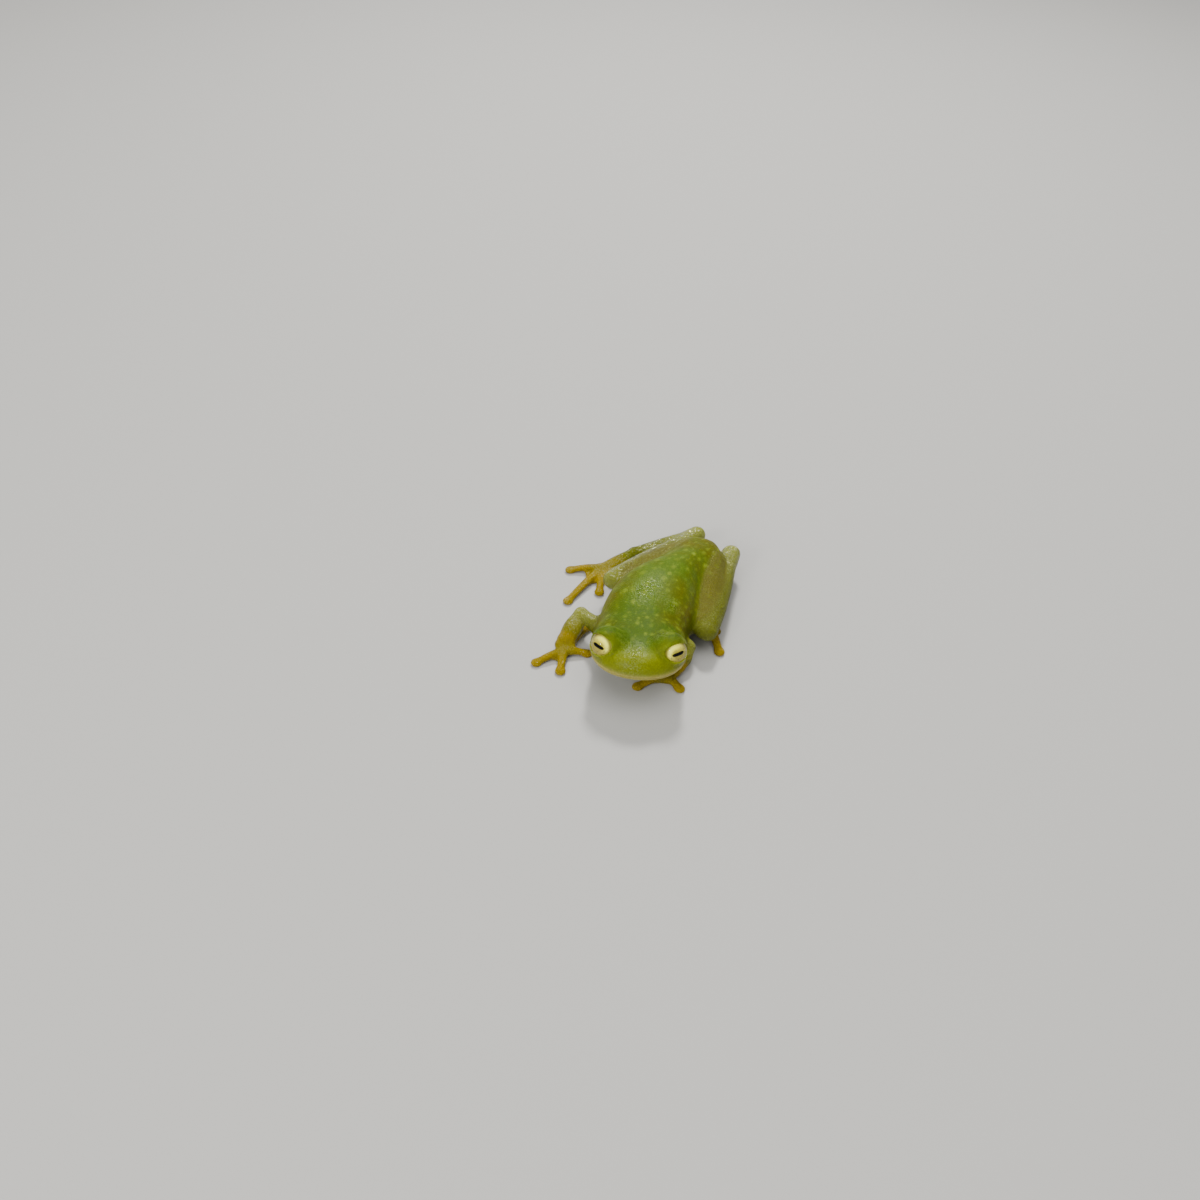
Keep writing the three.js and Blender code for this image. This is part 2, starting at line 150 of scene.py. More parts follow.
@dataclass(frozen=True)
class Posture:
    """How the straight, level body lies: the trunk bends to the frog's left and the head is lifted.

    A station is the distance along the back from the tip of the snout.

    Attributes:
        length: the station of the rump.
        origin_station: the station of the frame's origin.
        bend_back: the station where the trunk's bend starts, seen from the rump.
        bend_front: the station where it ends.
        turn: how far the head turns to the left.
        pitch: how far the head is lifted.
        pitch_station: the station of the point that the head is lifted about.
        pitch_blend: half the length over which the lift fades out.
        pitch_height: the height of that point.
    """

    length: float = 26.5
    origin_station: float = 14.5
    bend_back: float = 17.0
    bend_front: float = 7.5
    turn: float = math.radians(29.5)
    pitch: float = math.radians(10.4)
    pitch_station: float = 8.5
    pitch_blend: float = 1.5
    pitch_height: float = 3.2

    @property
    def radius(self) -> float:
        """The radius of the bend of the trunk."""
        return (self.bend_back - self.bend_front) / self.turn

    def lift(self, station: Array) -> Array:
        """The pitch of the body at a station: full in the head, easing to none behind it."""
        back = self.pitch_station + self.pitch_blend
        return self.pitch * ease(back - station, 0, 2 * self.pitch_blend)

    def place(self, station: Array, side: Array, height: Array) -> Array:
        """Puts points of the straight, level body on the bent and pitched one.

        The head turns about the pitch station by the lift, then stations run along an arc of a circle
        between the two ends of the bend and straight on beyond them.

        Args:
            station: distance from the tip of the snout.
            side: distance to the frog's left.
            height: distance above the floor.

        Returns:
            The points, x, y and z in the last axis.
        """
        station, side, height = np.broadcast_arrays(station, side, height)
        lift = self.lift(station)
        ahead, above = self.pitch_station - station, height - self.pitch_height
        along = self.pitch_station - (ahead * np.cos(lift) - above * np.sin(lift))
        z = self.pitch_height + ahead * np.sin(lift) + above * np.cos(lift)
        angle = np.clip((self.bend_back - along) / self.radius, 0, self.turn)
        behind, beyond = np.maximum(along - self.bend_back, 0), np.maximum(self.bend_front - along, 0)
        x = self.radius * (1 - np.cos(angle)) + beyond * np.sin(angle) + side * np.cos(angle)
        y = self.bend_back - self.origin_station + behind
        y = y - (self.radius - side) * np.sin(angle) - beyond * np.cos(angle)
        return np.stack([x, y, z], axis=-1)

    def straighten(self, points: Array) -> tuple[Array, Array, Array]:
        """Gives the station, side and height of points of the bent body: the inverse of place.

        The arc's angle is that of the point seen from the bend's centre, and the lift is found in three
        rounds from the station that the last round gave.

        Args:
            points: x, y and z in the last axis.

        Returns:
            Station, side and height.
        """
        x, y, z = np.moveaxis(points, -1, 0)
        back = self.bend_back - self.origin_station
        angle = np.arctan2(back - y, self.radius - x)
        front_x = x - self.radius * (1 - math.cos(self.turn))
        front_y = y - back + self.radius * math.sin(self.turn)
        beyond = front_x * math.sin(self.turn) - front_y * math.cos(self.turn)
        along = np.where(y > back, self.origin_station + y, self.bend_back - self.radius * angle)
        side = np.where(y > back, x, self.radius - np.hypot(self.radius - x, back - y))
        in_front = (beyond > 0) & (y < back)
        along = np.where(in_front, self.bend_front - beyond, along)
        side = np.where(in_front, front_x * math.cos(self.turn) + front_y * math.sin(self.turn), side)
        station, ahead, rise = along, self.pitch_station - along, z - self.pitch_height
        for _ in range(3):
            lift = self.lift(station)
            station = self.pitch_station - (ahead * np.cos(lift) + rise * np.sin(lift))
        height = self.pitch_height - ahead * np.sin(lift) + rise * np.cos(lift)
        return station, side, height

    def facing(self, out: float, up: float, side: Side) -> Array:
        """A direction in the head's own frame.

        Args:
            out: angle from straight ahead to this side.
            up: angle above the level of the head.
            side: the side of the head.

        Returns:
            The unit vector.
        """
        turned = self.turn + side.value * out
        raised = up + self.pitch * math.cos(out)
        level = math.cos(raised)
        return np.array([math.sin(turned) * level, -math.cos(turned) * level, math.sin(raised)])


@dataclass
class Shell:
    """A closed surface of quads.

    Attributes:
        points: the corners.
        quads: four corners each, turning left seen from outside.
    """

    points: Array
    quads: Array

    @classmethod
    def wrap(cls, grid: Array) -> "Shell":
        """Wraps a grid of rings into a closed shell; its first and last ring are each one point.

        Args:
            grid: points by ring and by place round the ring.
        """
        rings, around = grid.shape[:2]
        ring, here = np.meshgrid(np.arange(rings - 1) * around, np.arange(around), indexing="ij")
        there = (here + 1) % around
        quads = [ring + here, ring + there, ring + around + there, ring + around + here]
        return cls(grid.reshape(-1, 3), np.stack(quads, axis=-1).reshape(-1, 4))


@dataclass(frozen=True)
class Trunk:
    """The head, throat and torso as one body of superellipse sections along the back.

    Each curve goes by station. The rounded ends are given by their reach and their superellipse's power.
    """

    posture: Posture
    half_width: Pairs = (
        (0, 5), (5.5, 5), (7.5, 4.9), (9, 4.75), (11, 4.95), (14, 4.9),
        (16.5, 4.2), (19, 3.1), (21.5, 2.5), (24, 2.1), (26.5, 1.75),
    )
    back: Pairs = (
        (0, 5.1), (2.2, 5.45), (4, 5.75), (7.5, 6.2), (9.5, 6.35), (12, 6.8),
        (15, 7.05), (17, 6.95), (20, 6.5), (22.5, 6.0), (24.5, 5.6), (26.5, 5.3),
    )
    belly: Pairs = (
        (0, 2.1), (4, 1.6), (6.5, 1.4), (8.5, 0.8), (10.5, 0.05), (12, -0.3),
        (18.5, -0.3), (21, 0.7), (23.5, 2.0), (26.5, 2.9),
    )
    widest: Pairs = ((0, 3.3), (7, 3.25), (11, 2.8), (19, 2.8), (24, 3.6), (26.5, 4.1))
    power_below: Pairs = ((0, 1.7), (6, 1.8), (10, 2.5), (26.5, 2.5))
    power_above: float = 2.3
    snout_plan: Range = (5.5, 2.16)
    snout_above: Range = (1.5, 2.5)
    snout_below: Range = (3.6, 1.7)
    rump: Range = (1.9, 2.0)
    mouth: float = 3.25
    lip_swell: float = 0.13
    lip_breadth: float = 0.35
    lip_end: float = 7.0

    def shell(self, rows: int = 220, columns: int = 176, crowding: float = 0.3) -> Shell:
        """The trunk's surface.

        At each station the section is |across| ** p + |rise| ** p = 1, with its own power and height above
        and below the widest line; its width and depth round off at the snout and the rump, and the lips
        stand out in a bell about the line of the mouth.

        Args:
            rows: rings from the snout to the rump, closest at the two ends.
            columns: points round each ring.
            crowding: how far the points of a ring draw together at its widest line.

        Returns:
            The closed shell.
        """
        turn = np.linspace(0, 2 * math.pi, columns, endpoint=False)[None, :]
        turn = turn - crowding * np.sin(2 * turn)
        station = self.posture.length * (1 - np.cos(np.linspace(0, math.pi, rows)))[:, None] / 2
        end = rounding(self.posture.length - station, *self.rump)
        plan = end * rounding(station, *self.snout_plan)
        upper = rounding(station, *self.snout_above)
        above = np.sin(turn) > 0
        depth = end * np.where(above, upper, rounding(station, *self.snout_below))
        widest = profile(self.widest, station)
        edge = np.where(above, profile(self.back, station), profile(self.belly, station))
        power = np.where(above, self.power_above, profile(self.power_below, station))
        across = np.sign(np.cos(turn)) * np.abs(np.cos(turn)) ** (2 / power)
        upward = np.sign(np.sin(turn)) * np.abs(np.sin(turn)) ** (2 / power)
        rise = np.abs(edge - widest) * depth * upward
        lip = self.lip_swell * bell(widest + rise - self.mouth, self.lip_breadth)
        lip = lip * ease(self.lip_end - station, 0, 1) * upper
        side = across * (profile(self.half_width, station) * plan + lip)
        forward = station - np.where(station < self.posture.origin_station, lip * (1 - plan), 0)
        return Shell.wrap(self.posture.place(forward, side, widest + rise))


@dataclass(frozen=True)
class Limb:
    """A length of limb: a tube of elliptical sections with round ends, along a smooth path.

    Attributes:
        path: the middle of the limb at its joints.
        widths: half widths spread evenly along the path.
        heights: half heights spread evenly along the path.
    """

    path: tuple[Point, ...]
    widths: Sizes
    heights: Sizes

    def shell(self, rows: int = 60, columns: int = 40, cap: float = 0.22) -> Shell:
        """The limb's surface: centre + shift t + width sin(c) cos(a) s + height sin(c) sin(a) n.

        The angle c goes from 0 to a right angle over each cap, and the shift, -cos(c) or cos(c) times the
        smaller half size, makes the cap round.

        Args:
            rows: rings along the limb.
            columns: points round each ring.
            cap: the share of the rings in each end cap.

        Returns:
            The closed shell.
        """
        points = np.array(self.path, float)
        steps = np.linalg.norm(np.diff(points, axis=0), axis=1) ** 0.5
        knots = np.concatenate([[0], np.cumsum(steps)]) / steps.sum()
        u = np.linspace(0, 1, rows)
        t = np.clip((u - cap) / (1 - 2 * cap), 0, 1)

        def middle(step: float) -> Array:
            """The path at each ring, moved along it by a step."""
            places = np.clip(t + step, 0, 1)
            return np.stack([profile(tuple(zip(knots, axis)), places) for axis in points.T], axis=-1)

        def half(sizes: Sizes) -> Array:
            """The half size at each ring."""
            return profile(tuple(zip(np.linspace(0, 1, len(sizes)), sizes)), t)[:, None]

        tangent = unit(middle(1e-3) - middle(-1e-3))
        side = unit(np.cross([0, 0, 1], tangent))
        up = np.cross(tangent, side)
        width, height = half(self.widths), half(self.heights)
        bulge = math.pi / 2 * np.minimum(np.minimum(u, 1 - u) / cap, 1)[:, None]
        shift = np.where(u < 0.5, -1, 1)[:, None] * np.cos(bulge) * np.minimum(width, height)
        angle = np.linspace(0, 2 * math.pi, columns, endpoint=False)[None, :]
        wide = (width * np.sin(bulge) * np.cos(angle))[..., None] * side[:, None, :]
        high = (height * np.sin(bulge) * np.sin(angle))[..., None] * up[:, None, :]
        return Shell.wrap((middle(0) + shift * tangent)[:, None, :] + wide + high)


@dataclass(frozen=True)
class Disc:
    """The round flat pad at the tip of a digit: an ellipsoid turned to the digit's heading.

    Its half sizes are its length along the digit, its breadth across and its thickness up.
    """

    centre: Point
    heading: float
    length: float = 0.62
    breadth: float = 0.6
    thickness: float = 0.3

    def shell(self, rows: int = 24, columns: int = 32) -> Shell:
        """The pad's surface, in rings from its lowest point to its highest."""
        polar = np.linspace(0, math.pi, rows)[:, None]
        around = np.linspace(0, 2 * math.pi, columns, endpoint=False)[None, :]
        along = self.length * np.sin(polar) * np.cos(around)
        across = self.breadth * np.sin(polar) * np.sin(around)
        x = along * math.cos(self.heading) - across * math.sin(self.heading)
        y = along * math.sin(self.heading) + across * math.cos(self.heading)
        z = np.broadcast_to(-self.thickness * np.cos(polar), x.shape)
        return Shell.wrap(np.array(self.centre) + np.stack([x, y, z], axis=-1))


@dataclass(frozen=True)
class Web:
    """The thin skin between two digits, from their root along a share of their length to a hollow edge."""

    root: Point
    tips: tuple[Point, Point]
    reach: float
    hollow: float = 0.72
    level: float = 0.27
    half_thickness: float = 0.15

    def shell(self, rows: int = 20, columns: int = 16) -> Shell:
        """The web's surface: root + t (edge(s) - root), above and below its middle sheet.

        The free edge is the quadratic curve a(1 - s)² + 2ms(1 - s) + bs², where a and b lie on the digits
        and m is drawn back towards the root.
        """
        root, a, b = (np.array([p[0], p[1], self.level]) for p in (self.root, *self.tips))
        a, b = root + self.reach * (a - root), root + self.reach * (b - root)
        middle = root + self.hollow * ((a + b) / 2 - root)
        s = np.concatenate([np.linspace(0, 1, columns), np.linspace(1, 0, columns)])[:, None]
        edge = a * (1 - s) ** 2 + 2 * middle * s * (1 - s) + b * s**2
        t = np.concatenate([[0], np.linspace(0, 1, rows), [1]])[:, None, None]
        thick = np.ones(rows + 2) * self.half_thickness
        thick[[0, -1]] = 0
        grid = root + t * (edge - root)
        grid[..., 2] += np.repeat([1.0, -1.0], columns)[None, :] * thick[:, None]
        return Shell.wrap(grid)


@dataclass(frozen=True)
class Lattice:
    """A box of evenly spaced points on which distances to surfaces are kept.

    Attributes:
        low: the lowest corner.
        high: the highest corner.
        pitch: the distance between points.
        band: how far from a surface its distance is kept; it is level beyond.
    """

    low: Point = (-14.5, -15.5, -0.9)
    high: Point = (10.5, 16.3, 9.2)
    pitch: float = 0.125
    band: float = 1.6

    @property
    def corner(self) -> tuple[int, ...]:
        """The lowest corner, counted in steps from the origin."""
        return tuple(int(math.floor(v / self.pitch)) for v in self.low)

    @property
    def shape(self) -> tuple[int, ...]:
        """The number of points along each axis."""
        return tuple(int(math.ceil(v / self.pitch)) - c for v, c in zip(self.high, self.corner))

    def axes(self) -> tuple[Array, Array, Array]:
        """The places of the points along x, y and z, shaped to spread over the whole lattice."""
        counts = zip(self.corner, self.shape)
        return np.ix_(*((low + np.arange(count, dtype=np.float32)) * self.pitch for low, count in counts))

    def distance(self, shell: Shell) -> Array:
        """The distance of each point from a closed shell, negative inside it."""
        steps = self.band / self.pitch
        transform = openvdb.createLinearTransform(voxelSize=self.pitch)
        grid = openvdb.FloatGrid.createLevelSetFromPolygons(
            shell.points.astype(np.float32),
            quads=shell.quads.astype(np.uint32),
            transform=transform,
            exBandWidth=steps,
            inBandWidth=steps,
        )
        values = np.empty(self.shape, np.float32)
        grid.copyToArray(values, ijk=self.corner)
        return values

    def from_point(self, centre: Array) -> Array:
        """The distance of each point from one place."""
        x, y, z = self.axes()
        return np.sqrt((x - centre[0]) ** 2 + (y - centre[1]) ** 2 + (z - centre[2]) ** 2)

    def surface(self, values: Array) -> tuple[Array, Array]:
        """The points and quads of the surface where the distance is zero."""
        grid = openvdb.FloatGrid(self.band)
        grid.copyFromArray(np.ascontiguousarray(values, dtype=np.float32), ijk=self.corner)
        grid.transform = openvdb.createLinearTransform(voxelSize=self.pitch)
        return grid.convertToQuads(0.0)

    def sample(self, values: Array, points: Array) -> Array:
        """Reads a field at points, linearly between the eight lattice points round each."""
        place = points / self.pitch - np.array(self.corner)
        base = np.clip(np.floor(place).astype(int), 0, np.array(self.shape) - 2)
        part = place - base
        total = np.zeros(len(points))
        for step in np.ndindex(2, 2, 2):
            weight = np.prod(np.where(step, part, 1 - part), axis=1)
            total += weight * values[tuple((base + step).T)]
        return total


@dataclass(frozen=True)
class Joint:
    """How one length of flesh grows from another: a wide fillet at the joint and a crease elsewhere."""

    place: Point
    fillet: float = 0.6
    crease: float = 0.1
    spread: float = 1.4

    def reach(self, lattice: Lattice) -> Array:
        """The fillet's reach over the lattice: crease + (fillet - crease) times a bell about the joint."""
        near = bell(lattice.from_point(np.array(self.place)), self.spread)
        return self.crease + (self.fillet - self.crease) * near


@dataclass(frozen=True)
class Paw:
    """A hand or foot: its palm or sole, the digits with their pads and the webs between them.

    A web is given by its two digits' numbers and how far along them it runs.
    """

    core: Limb
    root: Point
    tips: tuple[Point, ...]
    webs: Links
    widths: Sizes = (0.6, 0.48, 0.42)
    heights: Sizes = (0.42, 0.36, 0.3)
    arch: float = 0.2
    pad_level: float = 0.26
    pad_fillet: float = 0.25
    fillet: float = 0.3

    def field(self, lattice: Lattice) -> Array:
        """The distance to the paw, with its digits, pads and webs fused by small fillets."""
        total = lattice.distance(self.core.shell())
        for tip in self.tips:
            x, y, _ = (np.array(self.root) + tip) / 2
            middle = (x, y, self.heights[1] + self.arch)
            digit = Limb((self.root, middle, tip), self.widths, self.heights)
            heading = math.atan2(tip[1] - middle[1], tip[0] - middle[0])
            disc = Disc((tip[0], tip[1], self.pad_level), heading)
            digit, disc = lattice.distance(digit.shell()), lattice.distance(disc.shell())
            total = fuse(total, fuse(digit, disc, self.pad_fillet), self.fillet)
        for first, second, reach in self.webs:
            web = Web(self.root, (self.tips[first], self.tips[second]), reach)
            total = fuse(total, lattice.distance(web.shell()), self.fillet)
        return total


@dataclass(frozen=True)
class Arm:
    """An arm from the shoulder to the fingertips, with a fillet, a crease and a spread for each joint."""

    side: Side
    shoulder: Point
    elbow: Point
    wrist: Point
    palm: Point
    fingers: tuple[Point, ...]
    upper: Sizes = (1.1, 0.85, 0.72)
    fore_widths: Sizes = (0.72, 1.1, 0.95)
    fore_heights: Sizes = (0.7, 0.82, 0.6)
    palm_widths: Sizes = (0.95, 1.15, 0.9)
    palm_heights: Sizes = (0.56, 0.48, 0.4)
    webs: Links = ((2, 3, 0.6), (1, 2, 0.35), (0, 1, 0.25))
    joints: tuple[Sizes, ...] = ((1.0, 0.3, 3.0), (0.5, 0.12, 1.3), (0.5, 0.1, 1.4))

    @property
    def nodes(self) -> tuple[str, ...]:
        """The frame's nodes that the skin stands for on this arm."""
        return tuple(f"{part}_{self.side.label}" for part in ("upper_arm", "forearm", "hand"))

    def lengths(self, lattice: Lattice) -> list[tuple[Array, Joint]]:
        """The arm's lengths from the body outwards, each with the joint that it grows from."""
        upper = Limb((self.shoulder, self.elbow), self.upper, self.upper)
        fore = Limb((self.elbow, self.wrist), self.fore_widths, self.fore_heights)
        palm = Limb((self.wrist, self.palm), self.palm_widths, self.palm_heights)
        lengths = [lattice.distance(limb.shell()) for limb in (upper, fore)]
        lengths.append(Paw(palm, self.palm, self.fingers, self.webs).field(lattice))
        places = zip((self.shoulder, self.elbow, self.wrist), self.joints)
        return list(zip(lengths, (Joint(place, *sizes) for place, sizes in places)))


@dataclass(frozen=True)
class Leg:
    """A hind leg, folded: the thigh runs forwards, the shank back to the heel, and the foot forwards."""

    side: Side
    hip: Point
    knee: Point
    shank_top: Point
    heel: Point
    ankle: Point
    spread: Point
    toes: tuple[Point, ...]
    thigh_widths: Sizes = (1.5, 1.7, 1.5, 1.2)
    thigh_heights: Sizes = (1.6, 1.65, 1.4, 1.1)
    shank_widths: Sizes = (1.1, 1.3, 1.25, 1.05, 0.9)
    shank_heights: Sizes = (1.0, 1.15, 1.05, 0.9, 0.85)
    tarsus_widths: Sizes = (0.8, 0.95, 0.8)
    tarsus_heights: Sizes = (0.75, 0.7, 0.6)
    sole_widths: Sizes = (0.7, 0.85, 0.7)
    sole_heights: Sizes = (0.6, 0.45, 0.38)
    webs: Links = ((3, 4, 0.58), (2, 3, 0.6), (1, 2, 0.6))
    joints: tuple[Sizes, ...] = ((1.6, 1.3, 6.0), (1.2, 0.45, 3.0), (0.9, 0.4, 2.5), (0.6, 0.1, 1.4))

    @property
    def nodes(self) -> tuple[str, ...]:
        """The frame's nodes that the skin stands for on this leg."""
        return tuple(f"{part}_{self.side.label}" for part in ("thigh", "shank", "tarsus", "foot"))

    def lengths(self, lattice: Lattice) -> list[tuple[Array, Joint]]:
        """The leg's lengths from the body outwards, each with the joint that it grows from."""
        thigh = Limb((self.hip, self.knee), self.thigh_widths, self.thigh_heights)
        shank = Limb((self.shank_top, self.heel), self.shank_widths, self.shank_heights)
        tarsus = Limb((self.heel, self.ankle), self.tarsus_widths, self.tarsus_heights)
        sole = Limb((self.ankle, self.spread), self.sole_widths, self.sole_heights)
        lengths = [lattice.distance(limb.shell()) for limb in (thigh, shank, tarsus)]
        lengths.append(Paw(sole, self.spread, self.toes, self.webs).field(lattice))
        places = zip((self.hip, self.shank_top, self.heel, self.ankle), self.joints)
        return list(zip(lengths, (Joint(place, *sizes) for place, sizes in places)))


@dataclass(frozen=True)
class Eye:
    """An eye of the frog: its place, taken from the frame, and where it looks.

    Attributes:
        side: which eye.
        posture: the lie of the head.
        out: the gaze's angle to the side.
        up: the gaze's angle above the level of the head.
        roll: how far the pupil's outer end is raised.
        opening: half the width and height of the lids' opening.
        outward: how far the opening's middle lies to the outer side of the gaze.
        raised: how far it lies above the gaze.
        cup: the radius of the lids' cup.
        set_back: how far its middle lies behind the eye's.
        inward: how far it lies to the inner side of the eye's.
        flare: how fast the opening widens forwards, and from where along the gaze.
        back_edge: how far behind the eye's middle the opening ends, and how round that end is.
        rim: the radius of the lids' rounded edge.
        rim_gap: how far its middle lies outside the eyeball.
        brow: the reach of the fillet between bulge and head, behind the gaze and in front.
        lid_fillets: how round the cut of the opening is, and the fillets of the rim and the seat.
        overlap: how far the flesh reaches into the eyeball.
        iris_depth: the iris's place along the gaze.
        cornea_gap: how far the eyeball lies under the cornea, round its rim and behind.
    """

    side: Side
    posture: Posture
    out: float = math.radians(32)
    up: float = math.radians(11)
    roll: float = math.radians(11.3)
    opening: Range = (1.5, 1.03)
    outward: float = 0.1
    raised: float = 0.19
    cup: float = 1.86
    set_back: float = 0.38
    inward: float = 0.18
    flare: Range = (0.35, 0.7)
    back_edge: Range = (0.15, 0.45)
    rim: float = 0.07
    rim_gap: float = 0.03
    brow: Range = (1.1, 0.2)
    lid_fillets: Point = (0.08, 0.1, 0.05)
    overlap: float = 0.06
    iris_depth: float = 0.95
    cornea_gap: Range = (0.07, 0.1)

    @property
    def node(self) -> str:
        """The frame's node that this eye stands for."""
        return f"eye_{self.side.label}"

    @property
    def centre(self) -> Array:
        """The middle of the eyeball, in millimetres."""
        low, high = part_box(self.node)
        return (np.array(low) + np.array(high)) / 2 / MM

    @property
    def radius(self) -> float:
        """The radius of the eyeball, in millimetres."""
        low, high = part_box(self.node)
        return float(high[2] - low[2]) / 2 / MM

    def level_axes(self) -> tuple[Array, Array, Array]:
        """The gaze, the axis square to it and level with the head, and the axis square to both."""
        gaze = self.posture.facing(self.out, self.up, self.side)
        level = unit(np.cross(self.posture.facing(0, math.pi / 2, self.side), gaze))
        return gaze, level, np.cross(gaze, level)

    def axes(self) -> tuple[Array, Array, Array]:
        """The gaze, the pupil's long axis towards the frog's left, and the axis square to both."""
        gaze, level, raised = self.level_axes()
        roll = self.roll * self.side.value
        long = level * math.cos(roll) + raised * math.sin(roll)
        return gaze, long, np.cross(gaze, long)

    def ball(self, across: float, front: float, rear: float, rows: int = 72, columns: int = 96) -> Shell:
        """A ball about the eye's middle: c + depth cos(p) gaze + across sin(p) (cos(a) long + sin(a) tall).

        Args:
            across: its radius square to the gaze.
            front: its depth along the gaze.
            rear: its depth the other way.
            rows: rings from the pupil to the back.
            columns: points round each ring.

        Returns:
            The closed shell.
        """
        gaze, long, tall = self.axes()
        polar = np.linspace(0, math.pi, rows)[:, None, None]
        around = -np.linspace(0, 2 * math.pi, columns, endpoint=False)[None, :, None]
        depth = np.where(np.cos(polar) > 0, front, rear) * np.cos(polar)
        ring = long * np.cos(around) + tall * np.sin(around)
        return Shell.wrap(self.centre + depth * gaze + across * np.sin(polar) * ring)

    def build(self) -> tuple[bpy.types.Object, bpy.types.Object]:
        """Makes the eyeball, whose iris is a low dome, and the clear cornea round it.

        The eyeball's attribute iris holds each point's place on the iris, in millimetres: outwards along the
        pupil's long axis, across it, and forwards along the gaze.

        Returns:
            The eyeball and the cornea.
        """
        round_rim, behind = self.cornea_gap
        inner = self.ball(self.radius - round_rim, self.iris_depth, self.radius - behind)
        eyeball = make_mesh(f"eyeball_{self.side.label}", inner.points, inner.quads)
        gaze, long, tall = self.axes()
        place = (inner.points - self.centre) @ np.stack([self.side.value * long, tall, gaze], axis=1)
        write_layer(eyeball, "iris", place)
        outer = self.ball(self.radius, self.radius, self.radius)
        cornea = make_mesh(f"cornea_{self.side.label}", outer.points, outer.quads)
        return eyeball, cornea

    def lids(self, lattice: Lattice, flesh: Array) -> tuple[Array, Array]:
        """Adds the eye's bulge and lids to the flesh and carves the eyeball's seat.

        The bulge is a ball larger than the eyeball, set back and to the inner side. The opening is a flaring
        elliptical cone along the gaze, hypot(a / A, b / B) - 1 with A and B growing forwards, and is carved
        through the bulge. The rim is a ring where the opening meets the eyeball, and the seat is a ball as
        large as the eyeball.

        Args:
            lattice: where the distances are kept.
            flesh: the distance to the flesh so far.

        Returns:
            The distance to the flesh with its lids, and the distance to the bulge.
        """
        x, y, z = (axis - c for axis, c in zip(lattice.axes(), self.centre))
        along, a, b = (x * v[0] + y * v[1] + z * v[2] for v in self.level_axes())
        radius = np.sqrt(x**2 + y**2 + z**2)
        sign = self.side.value
        bulge = np.sqrt((along + self.set_back) ** 2 + (a + sign * self.inward) ** 2 + b**2) - self.cup
        rate, start = self.flare
        flare = 1 + rate * np.maximum(along - start, 0)
        wide, high = self.opening
        across = (a - sign * self.outward) / (wide * flare)
        above = (b - self.raised) / (high * flare)
        cone = (np.hypot(across, above) - 1) * high
        back, edge = self.back_edge
        opening = carve(cone, -back - along, edge)
        rim = np.hypot(cone, radius - self.radius - self.rim_gap) - self.rim + 5 * np.maximum(-along, 0)
        behind, before = self.brow
        flesh = fuse(flesh, bulge, (behind - before) * ease(-along, -0.9, 0.6) + before)
        cut, rim_fillet, seat_fillet = self.lid_fillets
        flesh = fuse(carve(flesh, -opening, cut), rim, rim_fillet)
        return carve(flesh, self.radius - self.overlap - radius, seat_fillet), bulge


@dataclass(frozen=True)
class WetGlarePatch:
    """A film of water on the back, where glare is painted as pale specks: its middle, half its length and
    width, and how wet it is, up to 1.
    """

    station: float
    side: float
    length: float
    width: float
    level: float

    def mask(self, station: Array, side: Array) -> Array:
        """The level times a bell about the patch's middle, as long and wide as the patch."""
        along, across = (station - self.station) / self.length, (side - self.side) / self.width
        return self.level * bell(np.hypot(along, across), 1.0)


